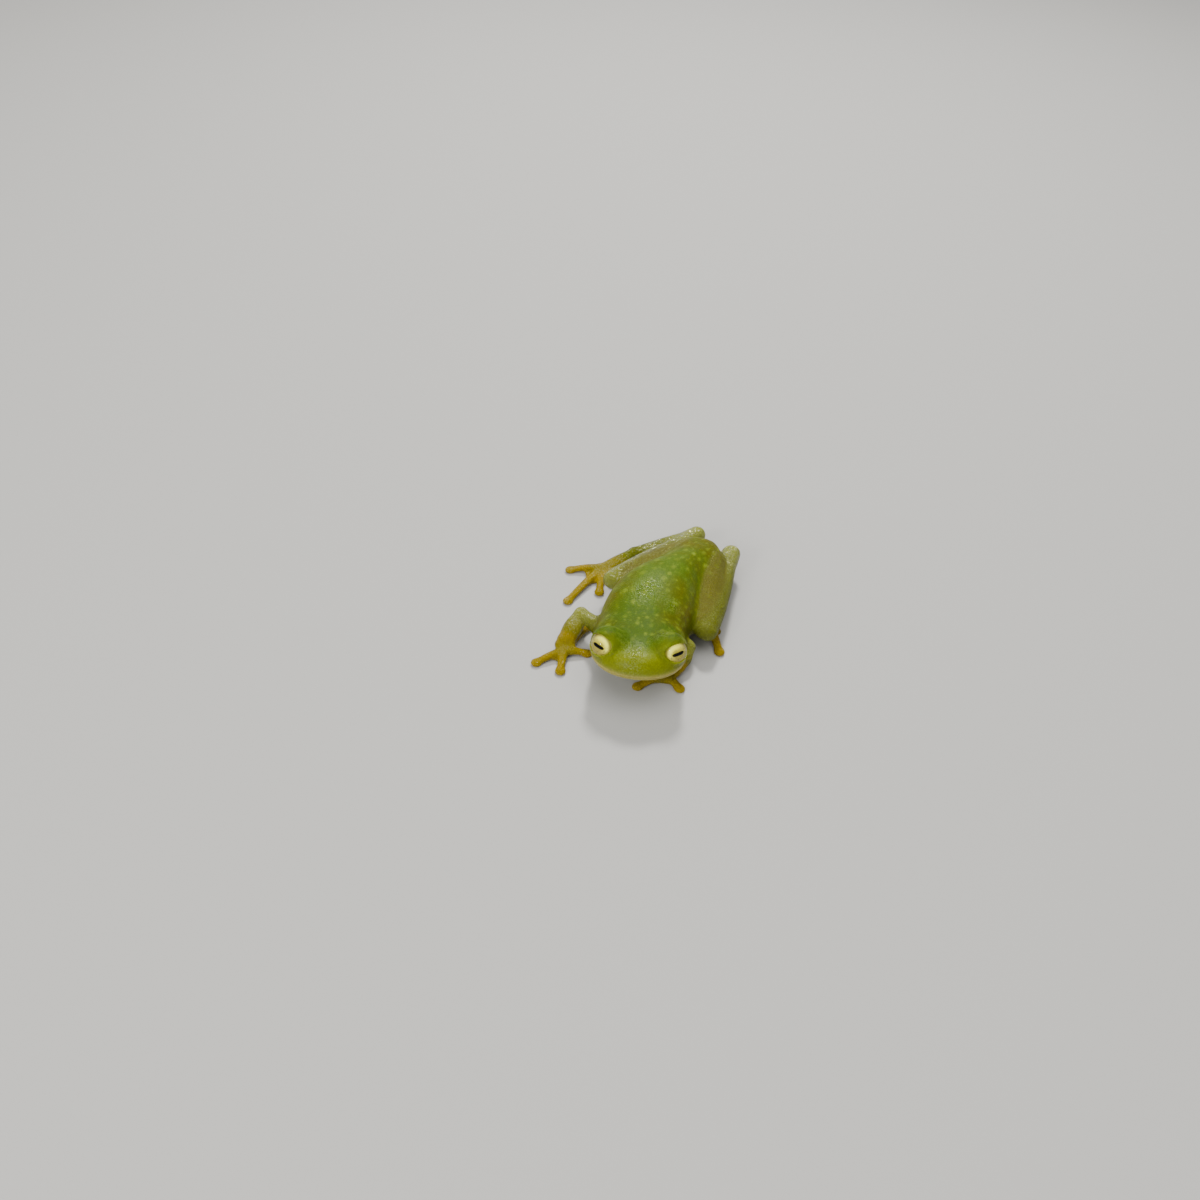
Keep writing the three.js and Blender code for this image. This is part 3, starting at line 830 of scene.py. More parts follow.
@dataclass
class Skin:
    """The frog's one skin, over the head, throat, torso and limbs.

    Marks on the head are given by station, side and height, with their depth or height and breadth. A blend
    is the two distances, or heights, between which one colour gives way to another.
    """

    posture: Posture
    trunk: Trunk
    arms: tuple[Arm, ...]
    legs: tuple[Leg, ...]
    eyes: tuple[Eye, ...]
    lattice: Lattice = field(default_factory=Lattice)
    nostril: Point = (0.8, 1.05, 4.62)
    nostril_pit: Range = (0.2, 0.16)
    nostril_rim: Range = (0.12, 0.42)
    eardrum: Point = (6.1, 4.6, 4.55)
    eardrum_ring: tuple[float, float, float] = (0.05, 0.5, 0.14)
    groove: Range = (0.11, 0.15)
    wet_glare_patches: tuple[WetGlarePatch, ...] = (
        WetGlarePatch(1.5, -0.3, 1.7, 1.3, 1.0),
        WetGlarePatch(12.3, -0.4, 2.2, 1.7, 1.0),
        WetGlarePatch(11.2, 2.9, 0.9, 0.8, 0.8),
        WetGlarePatch(4.0, 2.2, 1.0, 0.7, 0.9),
    )
    smoothing: int = 3
    floor_edge: float = 0.08
    limb_blend: Range = (-0.45, 0.7)
    thigh_blend: Range = (0.35, 0.3)
    paw_blend: Range = (0.1, 0.8)
    fore_blend: Range = (0.0, 0.5)
    belly_blend: Range = (1.2, 2.9)
    pale_and_lit_spread: tuple[float, float, float] = (3.2, 2.0, 1.8)

    def pair(self, mark: Point) -> tuple[Array, Array]:
        """A mark's places on the right and the left of the head, from its station, side and height."""
        station, out, height = mark
        return self.posture.place(station, -out, height), self.posture.place(station, out, height)

    def on_head(self, station: Array) -> Array:
        """1 on the head, easing to 0 behind the corners of the mouth."""
        return ease(self.trunk.lip_end + 0.6 - station, 0, 1.5)

    def head_relief(self, flesh: Array) -> Array:
        """Adds the line of the mouth, the nostrils and the eardrums to the distance, as bells."""
        x, y, z = np.broadcast_arrays(*self.lattice.axes())
        near = np.abs(flesh) < self.lattice.band / 2
        points = np.stack([x[near], y[near], z[near]], axis=-1)
        station, _, height = self.posture.straighten(points)
        depth, breadth = self.groove
        relief = depth * bell(height - self.trunk.mouth, breadth) * self.on_head(station)
        for nostril, drum in zip(self.pair(self.nostril), self.pair(self.eardrum)):
            for sign, (depth, breadth) in ((1, self.nostril_pit), (-1, self.nostril_rim)):
                relief += sign * depth * bell(apart(points, nostril), breadth)
            rise, radius, breadth = self.eardrum_ring
            relief -= rise * bell(apart(points, drum) - radius, breadth)
        flesh = flesh.copy()
        flesh[near] += relief
        return flesh

    def build(self) -> bpy.types.Object:
        """Works out the skin's surface and its masks and makes the piece.

        The trunk and the limbs are distances on the lattice, joined by fillets; the skin is the surface
        where the joined distance is zero, above the floor.

        Returns:
            The skin.
        """
        far = np.full(self.lattice.shape, self.lattice.band, np.float32)
        near = dict.fromkeys(("limbs", "thighs", "forearms", "paws"), far)
        flesh = near["body"] = self.lattice.distance(self.trunk.shell())
        for limb in (*self.legs, *self.arms):
            parts = limb.lengths(self.lattice)
            whole = parts[-1][0]
            for (length, _), (_, joint) in zip(parts[-2::-1], parts[:0:-1]):
                whole = fuse(whole, length, joint.reach(self.lattice))
            flesh = fuse(flesh, whole, parts[0][1].reach(self.lattice))
            own = ("thighs", parts[0][0]) if isinstance(limb, Leg) else ("forearms", parts[1][0])
            for name, distance in (("limbs", whole), ("paws", parts[-1][0]), own):
                near[name] = np.minimum(near[name], distance)
        flesh = self.head_relief(flesh)
        for eye in self.eyes:
            flesh, bulge = eye.lids(self.lattice, flesh)
            near["body"] = np.minimum(near["body"], bulge)
        above_floor = np.broadcast_to(-self.lattice.axes()[2], flesh.shape)
        points, quads = self.lattice.surface(carve(flesh, above_floor, self.floor_edge))
        points = self.relax(points.astype(float), quads)
        points[:, 2] = np.maximum(points[:, 2], 0.0)
        piece = make_mesh("skin", points, quads)
        normals = np.empty(points.size, np.float32)
        piece.data.vertex_normals.foreach_get("vector", normals)
        near = {name: self.lattice.sample(values, points) for name, values in near.items()}
        for name, values in self.masks(points, normals.reshape(-1, 3)[:, 2], near).items():
            write_layer(piece, name, values)
        return piece

    def relax(self, points: Array, quads: Array) -> Array:
        """Smooths out the lattice's steps and keeps the size.

        Each round moves a point by 0.5, then by -0.52, of the way to the mean of its neighbours.
        """
        ends = np.concatenate([quads[:, [i, (i + 1) % 4]] for i in range(4)])
        count = np.bincount(ends[:, 0], minlength=len(points))[:, None]
        for share in (0.5, -0.52) * self.smoothing:
            total = [np.bincount(ends[:, 0], axis[ends[:, 1]], len(points)) for axis in points.T]
            points = points + share * (np.stack(total, axis=-1) / count - points)
        return points

    def ripeness(self, points: Array) -> Array:
        """How amber hands and feet are: most in the digits, and rising along a foot from its ankle."""
        ripe = np.zeros(len(points))
        roots = [(arm.palm, None) for arm in self.arms] + [(leg.spread, leg.ankle) for leg in self.legs]
        for root, ankle in roots:
            away = apart(points, root)
            near = np.where(away < 9.0, 0.55 + 0.45 * ease(away, 0.6, 2.6), 0)
            if ankle:
                sole = np.array(root) - ankle
                near = near * ease((points - ankle) @ sole / (sole @ sole), 0.15, 1.0)
            ripe = np.maximum(ripe, near)
        return ripe

    def pale_joints_and_lit_knee(self, points: Array) -> Array:
        """How pale the skin is about the heels and the elbows, with a painted highlight about the right
        knee: bells about them.
        """
        heel, elbow, knee = self.pale_and_lit_spread
        joints = [(leg.heel, heel) for leg in self.legs] + [(arm.elbow, elbow) for arm in self.arms]
        # painted highlight: the right knee alone is made paler, as if lit
        joints.append((self.legs[0].shank_top, knee))
        return np.clip(sum(bell(apart(points, joint), spread) for joint, spread in joints), 0, 1)

    def masks(self, points: Array, upward: Array, near: dict[str, Array]) -> dict[str, Array]:
        """Works out what the skin's colours read.

        The crests get painted glints where they face up, on the right leg and the left heel. The chart
        unrolls the back into station and distance round the body, for the spots.

        Args:
            points: the skin's points, in millimetres.
            upward: the upward part of each point's normal.
            near: the distance to the body, limbs, thighs, forearms and paws at each point.

        Returns:
            The masks by name, a number or a vector for each point.
        """
        station, side, height = self.posture.straighten(points)
        above_mouth = height - self.trunk.mouth
        limb = ease(near["body"] - near["limbs"], *self.limb_blend)
        lead, breadth = self.thigh_blend
        thigh = ease(near["limbs"] + lead - near["thighs"], 0, breadth) * limb
        paw = 1 - ease(near["paws"], *self.paw_blend)
        fore = 1 - ease(near["forearms"], *self.fore_blend)
        pale = self.pale_joints_and_lit_knee(points)
        on_head = self.on_head(station) * (1 - limb)
        cheek = 4.5 * (1 - ease(height, 3.9, 5.0))
        dull = ease(points[:, 0], 1.5, 3.0) * (1 - bell(apart(points, self.legs[1].heel), 3.5))
        gloss = limb * (1 - 0.9 * thigh) * (1 - 0.9 * dull)
        behind_arms = ease(station, 8, 10)
        spotted = ease(station, 1.2, 3.0) * ease(above_mouth, 0.3, 1.5)
        across = bell(side, 3.0 + 2.5 * ease(9.5 - station, 0, 4))
        around = np.arctan2(side, above_mouth) * 4.3
        return {
            "limb": limb,
            "gloss": gloss,
            # crest: where pale glints are painted
            "crest": gloss * ease(upward, 0.8, 0.95) * (1 - 0.85 * paw) * (0.2 + 0.8 * behind_arms),
            "thigh": thigh,
            "amber": limb * np.maximum(paw * self.ripeness(points), 0.4 * fore * (1 - pale)),
            "pale": pale * limb * (1 - paw),
            "belly": (1 - ease(height, *self.belly_blend)) * (1 - limb),
            "lip": on_head * bell(above_mouth, 0.36),
            "mouth": np.where(on_head > 0.01, above_mouth, FAR),
            "snout": on_head * (1 - ease(station, 0.8, 3.2 + cheek)) * ease(above_mouth, 0.0, 0.8),
            "crown": ease(station, 1.5, 3.5) * (1 - ease(station, 7.5, 12.0)) * (1 - limb),
            # wet: where the skin is smoother and wetter, with glare painted there as pale specks
            "wet": sum(patch.mask(station, side) for patch in self.wet_glare_patches),
            "lid": np.min([apart(points, eye.centre) - eye.radius for eye in self.eyes], axis=0),
            "nostril": np.min([apart(points, place) for place in self.pair(self.nostril)], axis=0),
            "midline": across * (1 - ease(station, 17, 25)),
            "spotted": spotted * (1 - limb + 0.5 * thigh),
            "chart": np.stack([station, around, np.zeros(len(points))], axis=-1),
        }


def make_mesh(name: str, points: Array, quads: Array) -> bpy.types.Object:
    """Makes a smooth-shaded piece of quads.

    Args:
        name: the piece's name.
        points: its points, in millimetres.
        quads: four points each.

    Returns:
        The piece, with its object at the origin.
    """
    mesh = bpy.data.meshes.new(name)
    mesh.vertices.add(len(points))
    mesh.vertices.foreach_set("co", (points * MM).astype(np.float32).ravel())
    mesh.loops.add(quads.size)
    mesh.loops.foreach_set("vertex_index", quads.astype(np.int32).ravel())
    mesh.polygons.add(len(quads))
    mesh.polygons.foreach_set("loop_start", np.arange(0, quads.size, 4, dtype=np.int32))
    mesh.update(calc_edges=True)
    mesh.validate()
    mesh.shade_smooth()
    piece = bpy.data.objects.new(name, mesh)
    bpy.context.scene.collection.objects.link(piece)
    return piece


def write_layer(piece: bpy.types.Object, name: str, values: Array) -> None:
    """Gives a piece an attribute with a number, or a vector, for each point.

    Args:
        piece: the piece.
        name: the attribute's name.
        values: its values, one row to a point.
    """
    kind, key = ("FLOAT", "value") if values.ndim == 1 else ("FLOAT_VECTOR", "vector")
    layer = piece.data.attributes.new(name, kind, "POINT")
    layer.data.foreach_set(key, values.astype(np.float32).ravel())


def shade(code: str) -> Colour:
    """The linear colour of a code of six hexadecimal digits: ((c + 0.055) / 1.055) ** 2.4 each."""
    parts = [int(code[i : i + 2], 16) / 255 for i in (0, 2, 4)]
    linear = [c / 12.92 if c <= 0.04045 else ((c + 0.055) / 1.055) ** 2.4 for c in parts]
    return (*linear, 1.0)


class Graph:
    """A shader node tree with short ways to add and join its nodes.

    An input that is a socket is linked, and any other is set as the socket's own value.
    """

    def __init__(self, tree: bpy.types.NodeTree) -> None:
        """Holds the tree."""
        self.tree = tree

    def node(self, kind: str, inputs: Values | None = None, **settings: object) -> bpy.types.Node:
        """Adds a node.

        Args:
            kind: the node's type, without its leading ShaderNode.
            inputs: its inputs by name or number.
            settings: its other settings.

        Returns:
            The node.
        """
        made = self.tree.nodes.new(f"ShaderNode{kind}")
        for name, value in settings.items():
            setattr(made, name, value)
        self.feed(made, inputs or {})
        return made

    def feed(self, node: bpy.types.Node, inputs: Values) -> None:
        """Links the inputs of a node that are given a socket, and sets the others."""
        for key, value in inputs.items():
            if isinstance(value, Socket):
                self.tree.links.new(value, node.inputs[key])
            else:
                node.inputs[key].default_value = value

    def group(self, tree: bpy.types.NodeTree, inputs: Values) -> Socket:
        """Places a node group and gives its first output."""
        return self.node("Group", inputs, node_tree=tree).outputs[0]

    def sum(self, operation: str, *values: object, clamp: bool = False) -> Socket:
        """The result of a Math node of one, two or three values."""
        inputs = dict(enumerate(values))
        return self.node("Math", inputs, operation=operation, use_clamp=clamp).outputs[0]

    def vector(self, operation: str, first: object, second: object) -> Socket:
        """The result of a Vector Math node of two vectors."""
        return self.node("VectorMath", {0: first, 1: second}, operation=operation).outputs[0]

    def length(self, x: object, y: object) -> Socket:
        """The length of a flat vector: the root of x² + y²."""
        return self.sum("SQRT", self.sum("ADD", self.sum("POWER", x, 2.0), self.sum("POWER", y, 2.0)))

    def step(self, value: object, low: object, high: object, to: Range = (0, 1)) -> Socket:
        """A soft step from the first result at low to the second at high."""
        inputs = {"Value": value, "From Min": low, "From Max": high, "To Min": to[0], "To Max": to[1]}
        return self.node("MapRange", inputs, interpolation_type="SMOOTHSTEP").outputs[0]

    def mix(self, share: object, first: object, second: object, blend: str = "MIX") -> Socket:
        """The mix of two colours."""
        inputs = {0: share, 6: first, 7: second}
        return self.node("Mix", inputs, data_type="RGBA", blend_type=blend).outputs[2]

    def mask(self, name: str) -> Socket:
        """A mask that the mesh carries as an attribute."""
        return self.node("Attribute", attribute_name=name).outputs["Fac"]

    def scaled(self, vector: object, scale: object) -> Socket:
        """A vector times a number."""
        return self.node("VectorMath", {0: vector, "Scale": scale}, operation="SCALE").outputs[0]

    def noise(self, vector: object, size: float, detail: float = 2.0) -> bpy.types.Node:
        """Soft noise whose lumps are about this size."""
        inputs = {"Vector": self.scaled(vector, 1 / size), "Scale": 1.0, "Detail": detail}
        return self.node("TexNoise", inputs)

    def patches(self, vector: object, size: float, edge: Range, to: Range = (0, 1)) -> Socket:
        """Patches of about this size: noise, stepped softly between the two ends of an edge."""
        return self.step(self.noise(vector, size).outputs["Fac"], *edge, to)

    def millimetres(self) -> Socket:
        """The Object coordinates in millimetres."""
        return self.scaled(self.node("TexCoord").outputs["Object"], 1 / MM)


class Groups:
    """The effects that more than one finish, or one finish more than once, uses: node groups."""

    @staticmethod
    def start(name: str, inputs: dict[str, float | None], output: str) -> tuple[Graph, Sockets, Sockets]:
        """Starts a group.

        Args:
            name: the group's name.
            inputs: each input's number, or None for a vector.
            output: the name of its value.

        Returns:
            The group's graph, its inputs by name and its outputs.
        """
        tree = bpy.data.node_groups.new(name, "ShaderNodeTree")
        for label, value in inputs.items():
            kind = "NodeSocketVector" if value is None else "NodeSocketFloat"
            socket = tree.interface.new_socket(label, in_out="INPUT", socket_type=kind)
            if value is not None:
                socket.default_value = value
        tree.interface.new_socket(output, in_out="OUTPUT", socket_type="NodeSocketFloat")
        given, result = tree.nodes.new("NodeGroupInput"), tree.nodes.new("NodeGroupOutput")
        return Graph(tree), given.outputs, result.inputs

    @classmethod
    def spots(cls) -> bpy.types.NodeTree:
        """Round soft spots on a flat chart, one to a cell, each with its own radius and strength.

        The mask is 1 inside radius (0.5 + random), soft to 0 outside.
        """
        name = "round_spots"
        if name in bpy.data.node_groups:
            return bpy.data.node_groups[name]
        inputs = {"Vector": None, "Size": 1, "Radius": 0.2, "Softness": 0.1}
        graph, given, result = cls.start(name, inputs, "Mask")
        place = graph.scaled(given["Vector"], graph.sum("DIVIDE", 1.0, given["Size"]))
        grid = {"Vector": place, "Scale": 1.0, "Randomness": 0.75}
        cells = graph.node("TexVoronoi", grid, voronoi_dimensions="2D").outputs
        random = graph.node("SeparateColor", {"Color": cells["Color"]}).outputs
        radius = graph.sum("MULTIPLY", given["Radius"], graph.sum("ADD", random["Red"], 0.5))
        low = graph.sum("SUBTRACT", radius, given["Softness"])
        high = graph.sum("ADD", radius, given["Softness"])
        inside = graph.step(cells["Distance"], low, high, (1, 0))
        strength = graph.sum("MULTIPLY_ADD", random["Green"], 0.6, 0.4)
        graph.tree.links.new(graph.sum("MULTIPLY", inside, strength), result["Mask"])
        return graph.tree

    @classmethod
    def grain(cls) -> bpy.types.NodeTree:
        """Fine rounded grains: 1 at a grain's middle, falling to 0 between grains, uneven in height."""
        name = "fine_grain"
        if name in bpy.data.node_groups:
            return bpy.data.node_groups[name]
        graph, given, result = cls.start(name, {"Vector": None, "Size": 0.2}, "Height")
        place = graph.scaled(given["Vector"], graph.sum("DIVIDE", 1.0, given["Size"]))
        cells = graph.node("TexVoronoi", {"Vector": place, "Scale": 1.0}, feature="SMOOTH_F1")
        cells.inputs["Smoothness"].default_value = 0.35
        uneven = graph.node("TexNoise", {"Vector": place, "Scale": 0.35, "Detail": 1.0}).outputs[0]
        dome = graph.step(cells.outputs["Distance"], 0.05, 0.75, (1, 0))
        height = graph.sum("MULTIPLY", dome, graph.sum("MULTIPLY_ADD", uneven, 1.2, 0.2))
        graph.tree.links.new(height, result["Height"])
        return graph.tree


def new_material(name: str) -> tuple[bpy.types.Material, Graph, bpy.types.Node]:
    """Starts a material.

    Args:
        name: the material's name.

    Returns:
        The material, its graph and its Principled BSDF.
    """
    material = bpy.data.materials.new(name)
    material.use_nodes = True
    return material, Graph(material.node_tree), material.node_tree.nodes["Principled BSDF"]


@dataclass(frozen=True)
class MoistSkin:
    """The frog's skin: leaf green with pale spots, olive limbs and amber hands and feet, always moist.

    Colours are codes of six hexadecimal digits, and sizes millimetres. Spots are given by the size of their
    cells, their radius and their softness, and the wobble by its reach and size.
    """

    green: str = "4b6200"
    deep: str = "405700"
    olive: str = "555200"
    snout: str = "6d7400"
    spot: str = "73821a"
    limb: str = "5a5e0e"
    # limb_pale_and_lit: paler skin about the heels and elbows, and a painted highlight about the right knee
    limb_pale_and_lit: str = "7b8030"
    thigh: str = "5b5814"
    amber: str = "846f00"
    belly: str = "a8ab84"
    lip: str = "b2a352"
    lid: str = "8a922c"
    # painted_shade: near black, painted as shade in the line of the mouth and in the nostril pits
    painted_shade: str = "1c1c06"
    # painted_glare: pale specks painted in the wet patches as glare
    painted_glare: str = "98a85a"
    # glint: pale flecks painted on the upward crests of the limbs, a painted highlight
    glint: str = "e4e6a8"
    large_spots: tuple[float, float, float] = (1.35, 0.17, 0.15)
    small_spots: tuple[float, float, float] = (0.9, 0.13, 0.1)
    spot_strengths: Range = (0.85, 0.425)
    wobble: Range = (0.3, 0.5)
    grain: float = 0.21
    grain_height: float = 0.024
    limb_relief: float = 2.0
    wet_relief: float = 0.8
    painted_glare_size: float = 0.15
    glint_size: float = 0.19
    damp: float = 0.5
    wet_loss: float = 0.36
    smooth: float = 0.08

    def spots(self, graph: Graph, place: Socket) -> Socket:
        """The mask of the spots: the stronger of the large and the small ones, on a wobbled chart.

        Args:
            graph: the material's graph.
            place: Object coordinates in millimetres.

        Returns:
            The mask.
        """
        reach, size = self.wobble
        wobble = graph.vector("SUBTRACT", graph.noise(place, size).outputs["Color"], (0.5, 0.5, 0.5))
        chart = graph.node("Attribute", attribute_name="chart").outputs["Vector"]
        chart = graph.vector("ADD", graph.scaled(wobble, reach), chart)
        moved = graph.vector("ADD", chart, (7.3, 3.1, 0))
        kinds = ((chart, self.large_spots), (moved, self.small_spots))
        masks = []
        for (where, sizes), strength in zip(kinds, self.spot_strengths):
            inputs = {"Vector": where, **dict(zip(("Size", "Radius", "Softness"), sizes))}
            masks.append(graph.sum("MULTIPLY", graph.group(Groups.spots(), inputs), strength))
        return graph.sum("MULTIPLY", graph.sum("MAXIMUM", *masks), graph.mask("spotted"))

    def colours(self, graph: Graph, place: Socket) -> Socket:
        """The colour of the skin: each colour mixed over the last by its mask.

        Args:
            graph: the material's graph.
            place: Object coordinates in millimetres.

        Returns:
            The colour.
        """
        patches = graph.sum("MULTIPLY_ADD", graph.patches(place, 2.6, (0.35, 0.65)), 0.5, 0.65)
        olive = graph.sum("SUBTRACT", patches, graph.mask("midline"), clamp=True)
        green = graph.mix(graph.mask("crown"), shade(self.green), shade(self.deep))
        colour = graph.mix(olive, green, shade(self.olive))
        spots = self.spots(graph, place)
        # painted shade: the line of the mouth and the nostril pits are coloured near black
        mouth = graph.step(graph.sum("ABSOLUTE", graph.mask("mouth")), 0.02, 0.07, (0.4, 0))
        painted_pit_shade = graph.step(graph.mask("nostril"), 0.06, 0.17, (0.85, 0))
        layers = (
            (graph.mask("snout"), shade(self.snout)),
            (spots, shade(self.spot)),
            (graph.mask("limb"), graph.mix(graph.mask("pale"), shade(self.limb), shade(self.limb_pale_and_lit))),
            (graph.mask("thigh"), graph.mix(spots, shade(self.thigh), shade(self.spot))),
            (graph.mask("belly"), shade(self.belly)),
            (graph.mask("amber"), shade(self.amber)),
            (graph.sum("MULTIPLY", graph.mask("lip"), 0.85), shade(self.lip)),
            (graph.step(graph.mask("lid"), 0.08, 0.2, (0.35, 0)), shade(self.lid)),
            (graph.sum("MAXIMUM", mouth, painted_pit_shade), shade(self.painted_shade)),
        )
        for share, layer in layers:
            colour = graph.mix(share, colour, layer)
        return colour

    def build(self) -> bpy.types.Material:
        """Makes the material: the colours with painted shade between the grains, painted glare and glints,
        and drops that shine like metal.
        """
        material, graph, surface = new_material("moist_skin")
        place = graph.millimetres()
        grain = graph.group(Groups.grain(), {"Vector": place, "Size": self.grain})
        fine = graph.group(Groups.grain(), {"Vector": place, "Size": self.grain / 2.2})
        # painted shade: the colour is darker between the grains, as shade in their hollows
        tone = graph.sum("MULTIPLY_ADD", grain, 0.3, 0.84)
        tone = graph.node("CombineColor", dict.fromkeys(range(3), tone)).outputs[0]
        colour = graph.mix(1.0, self.colours(graph, place), tone, "MULTIPLY")
        relief = graph.sum("MULTIPLY_ADD", graph.mask("wet"), self.wet_relief, 1.0)
        relief = graph.sum("MULTIPLY_ADD", graph.mask("limb"), self.limb_relief, relief)
        height = graph.sum("MULTIPLY", graph.sum("MULTIPLY_ADD", fine, 0.3, grain), relief)
        bump = {"Height": height, "Strength": 1.0, "Distance": self.grain_height * MM}
        # painted highlight: pale glare specks in the wet patches; they also shine like metal
        painted_glare = graph.patches(place, self.painted_glare_size, (0.48, 0.66), (0, 0.7))
        painted_glare = graph.sum("MULTIPLY", painted_glare, graph.mask("wet"))
        # painted highlight: pale glints on the upward crests of the limbs
        glint = graph.patches(place, self.glint_size, (0.52, 0.64), (0, 0.9))
        glint = graph.sum("MULTIPLY", glint, graph.mask("crest"))
        colour = graph.mix(glint, graph.mix(painted_glare, colour, shade(self.painted_glare)), shade(self.glint))
        drops = graph.sum("MULTIPLY_ADD", painted_glare, 0.8, glint, clamp=True)
        uneven = graph.sum("ADD", graph.patches(place, 1.3, (0.3, 0.7), (0.0, 0.1)), self.smooth)
        damp = graph.sum("SUBTRACT", self.damp, graph.sum("MULTIPLY", graph.mask("wet"), self.wet_loss))
        dull = graph.step(graph.mask("gloss"), 0.0, 1.0, (1, 0))
        rough = graph.sum("MULTIPLY_ADD", graph.sum("SUBTRACT", damp, self.smooth), dull, uneven)
        drop_rough = graph.sum("MULTIPLY_ADD", drops, 0.4, graph.sum("MULTIPLY", glint, -0.18))
        inputs = {
            "Base Color": colour,
            "Metallic": drops,
            "Normal": graph.node("Bump", bump).outputs[0],
            "Roughness": graph.sum("MAXIMUM", rough, drop_rough),
            "Subsurface Weight": 0.8,
            "Subsurface Radius": (0.9, 0.9, 0.25),
            "Subsurface Scale": 0.8 * MM,
            "IOR": 1.34,
        }
        graph.feed(surface, inputs)
        return material


@dataclass(frozen=True)
class Iris:
    """The eye's pale cream iris, flecked and tan round a level black pupil, with painted shade and a painted
    glow.

    The pupil is half its length and half its height.
    """

    cream: str = "ece43c"
    pale: str = "fcfa6c"
    # shaded: the tan round the pupil, and the painted shade over the lower part of the iris
    shaded: str = "786a2c"
    # outer: painted shade on the iris's outer side, turned away from the light
    outer: str = "645a3c"
    fleck: str = "5e562c"
    # ring: painted shade round the iris's edge, where the eyeball curves away under the lids
    ring: str = "5c5420"
    black: str = "050505"
    # painted_glow: the iris gives off its own colour as light, a painted glow, though it is no lamp
    painted_glow: float = 0.6
    pupil: Range = (0.62, 0.18)
    squareness: float = 6.0
    ring_radius: float = 1.1

    def pupil_mask(self, graph: Graph, x: Socket, y: Socket, depth: Socket) -> Socket:
        """The pupil on the front of the eye: |y| < height (1 - (|x| / length) ** squareness), softly.

        Args:
            graph: the material's graph.
            x: the place along the pupil.
            y: the place across it.
            depth: the place along the gaze.

        Returns:
            The mask.
        """
        length, height = self.pupil
        along = graph.sum("DIVIDE", graph.sum("ABSOLUTE", x), length)
        reach = graph.sum("SUBTRACT", 1.0, graph.sum("POWER", along, self.squareness))
        reach = graph.sum("MULTIPLY", reach, height)
        inside = graph.sum("SUBTRACT", graph.sum("ABSOLUTE", y), reach)
        inside = graph.step(inside, -0.03, 0.03, (1, 0))
        return graph.sum("MULTIPLY", inside, graph.step(depth, 0.0, 0.1))

    def build(self) -> bpy.types.Material:
        """Makes the material from the attribute that holds each point's place on the iris; its colour shines
        as a painted glow.
        """
        material, graph, surface = new_material("cream_iris")
        place = graph.node("Attribute", attribute_name="iris").outputs["Vector"]
        x, y, depth = graph.node("SeparateXYZ", {0: place}).outputs
        radius = graph.length(x, y)
        near = graph.length(graph.sum("MULTIPLY", x, 0.7), y)
        near = graph.step(near, 0.2, 0.8, (0.85, 0))
        # the share of painted shade on the iris's outer side
        outer = graph.step(x, 0.0, 0.9)
        threads = graph.step(graph.noise(place, 0.09, 4.0).outputs["Fac"], 0.42, 0.6, (0, 0.8))
        flecks = graph.sum("MULTIPLY", threads, graph.patches(place, 0.4, (0.36, 0.56)))
        flecked = graph.sum("MAXIMUM", graph.step(y, -0.4, 0.5, (1, 0.2)), outer)
        flecks = graph.sum("MULTIPLY", flecks, graph.sum("MAXIMUM", flecked, near))
        layers = (
            (graph.step(radius, 0.4, 1.1), self.pale),
            (near, self.shaded),
            # painted shade: the iris grows darker towards its lower part
            (graph.step(y, -0.7, 0.15, (0.9, 0)), self.shaded),
            # painted shade on the outer side of the iris
            (graph.sum("MULTIPLY", outer, 0.75), self.outer),
            (flecks, self.fleck),
            # painted shade: a ring round the edge of the iris
            (graph.step(radius, self.ring_radius - 0.3, self.ring_radius, (0, 0.9)), self.ring),
            (self.pupil_mask(graph, x, y, depth), self.black),
        )
        colour = shade(self.cream)
        for share, code in layers:
            colour = graph.mix(share, colour, shade(code))
        # painted glow: the iris's colour is also given off as light
        light = {"Emission Color": colour, "Emission Strength": self.painted_glow}
        graph.feed(surface, {"Base Color": colour, **light, "Roughness": 0.5, "Specular IOR Level": 0.0})
        return material


@dataclass(frozen=True)
class Cornea:
    """The clear, wet window of the eye. Shadow and diffuse rays pass through it, so the iris stays lit."""

    ior: float = 1.336
    roughness: float = 0.02

    def build(self) -> bpy.types.Material:
        """Makes the material."""
        material, graph, surface = new_material("clear_cornea")
        inputs = {"Base Color": (1, 1, 1, 1), "Roughness": self.roughness, "IOR": self.ior}
        graph.feed(surface, {"Transmission Weight": 1.0, **inputs})
        path = graph.node("LightPath").outputs
        through = graph.sum("MAXIMUM", path["Is Shadow Ray"], path["Is Diffuse Ray"])
        clear = graph.node("BsdfTransparent").outputs[0]
        mixed = graph.node("MixShader", {0: through, 1: surface.outputs[0], 2: clear})
        graph.tree.links.new(mixed.outputs[0], graph.tree.nodes["Material Output"].inputs["Surface"])
        return material


@dataclass(frozen=True)
class PaleFloor:
    """The plain pale floor of the studio."""

    tone: str = "a9a7a2"
    roughness: float = 0.7

    def build(self) -> bpy.types.Material:
        """Makes the material."""
        material, graph, surface = new_material("pale_floor")
        graph.feed(surface, {"Base Color": shade(self.tone), "Roughness": self.roughness})
        return material


def stand(thing: bpy.types.Object, place: Array, axes: tuple[Array, Array, Array]) -> None:
    """Adds a lamp or the camera to the scene.

    Args:
        thing: the lamp or camera.
        place: where it stands, in millimetres.
        axes: the directions of its own x, y and z.
    """
    bpy.context.scene.collection.objects.link(thing)
    turn = Matrix(np.stack(axes, axis=1).tolist())
    thing.matrix_world = Matrix.Translation(place * MM) @ turn.to_4x4()


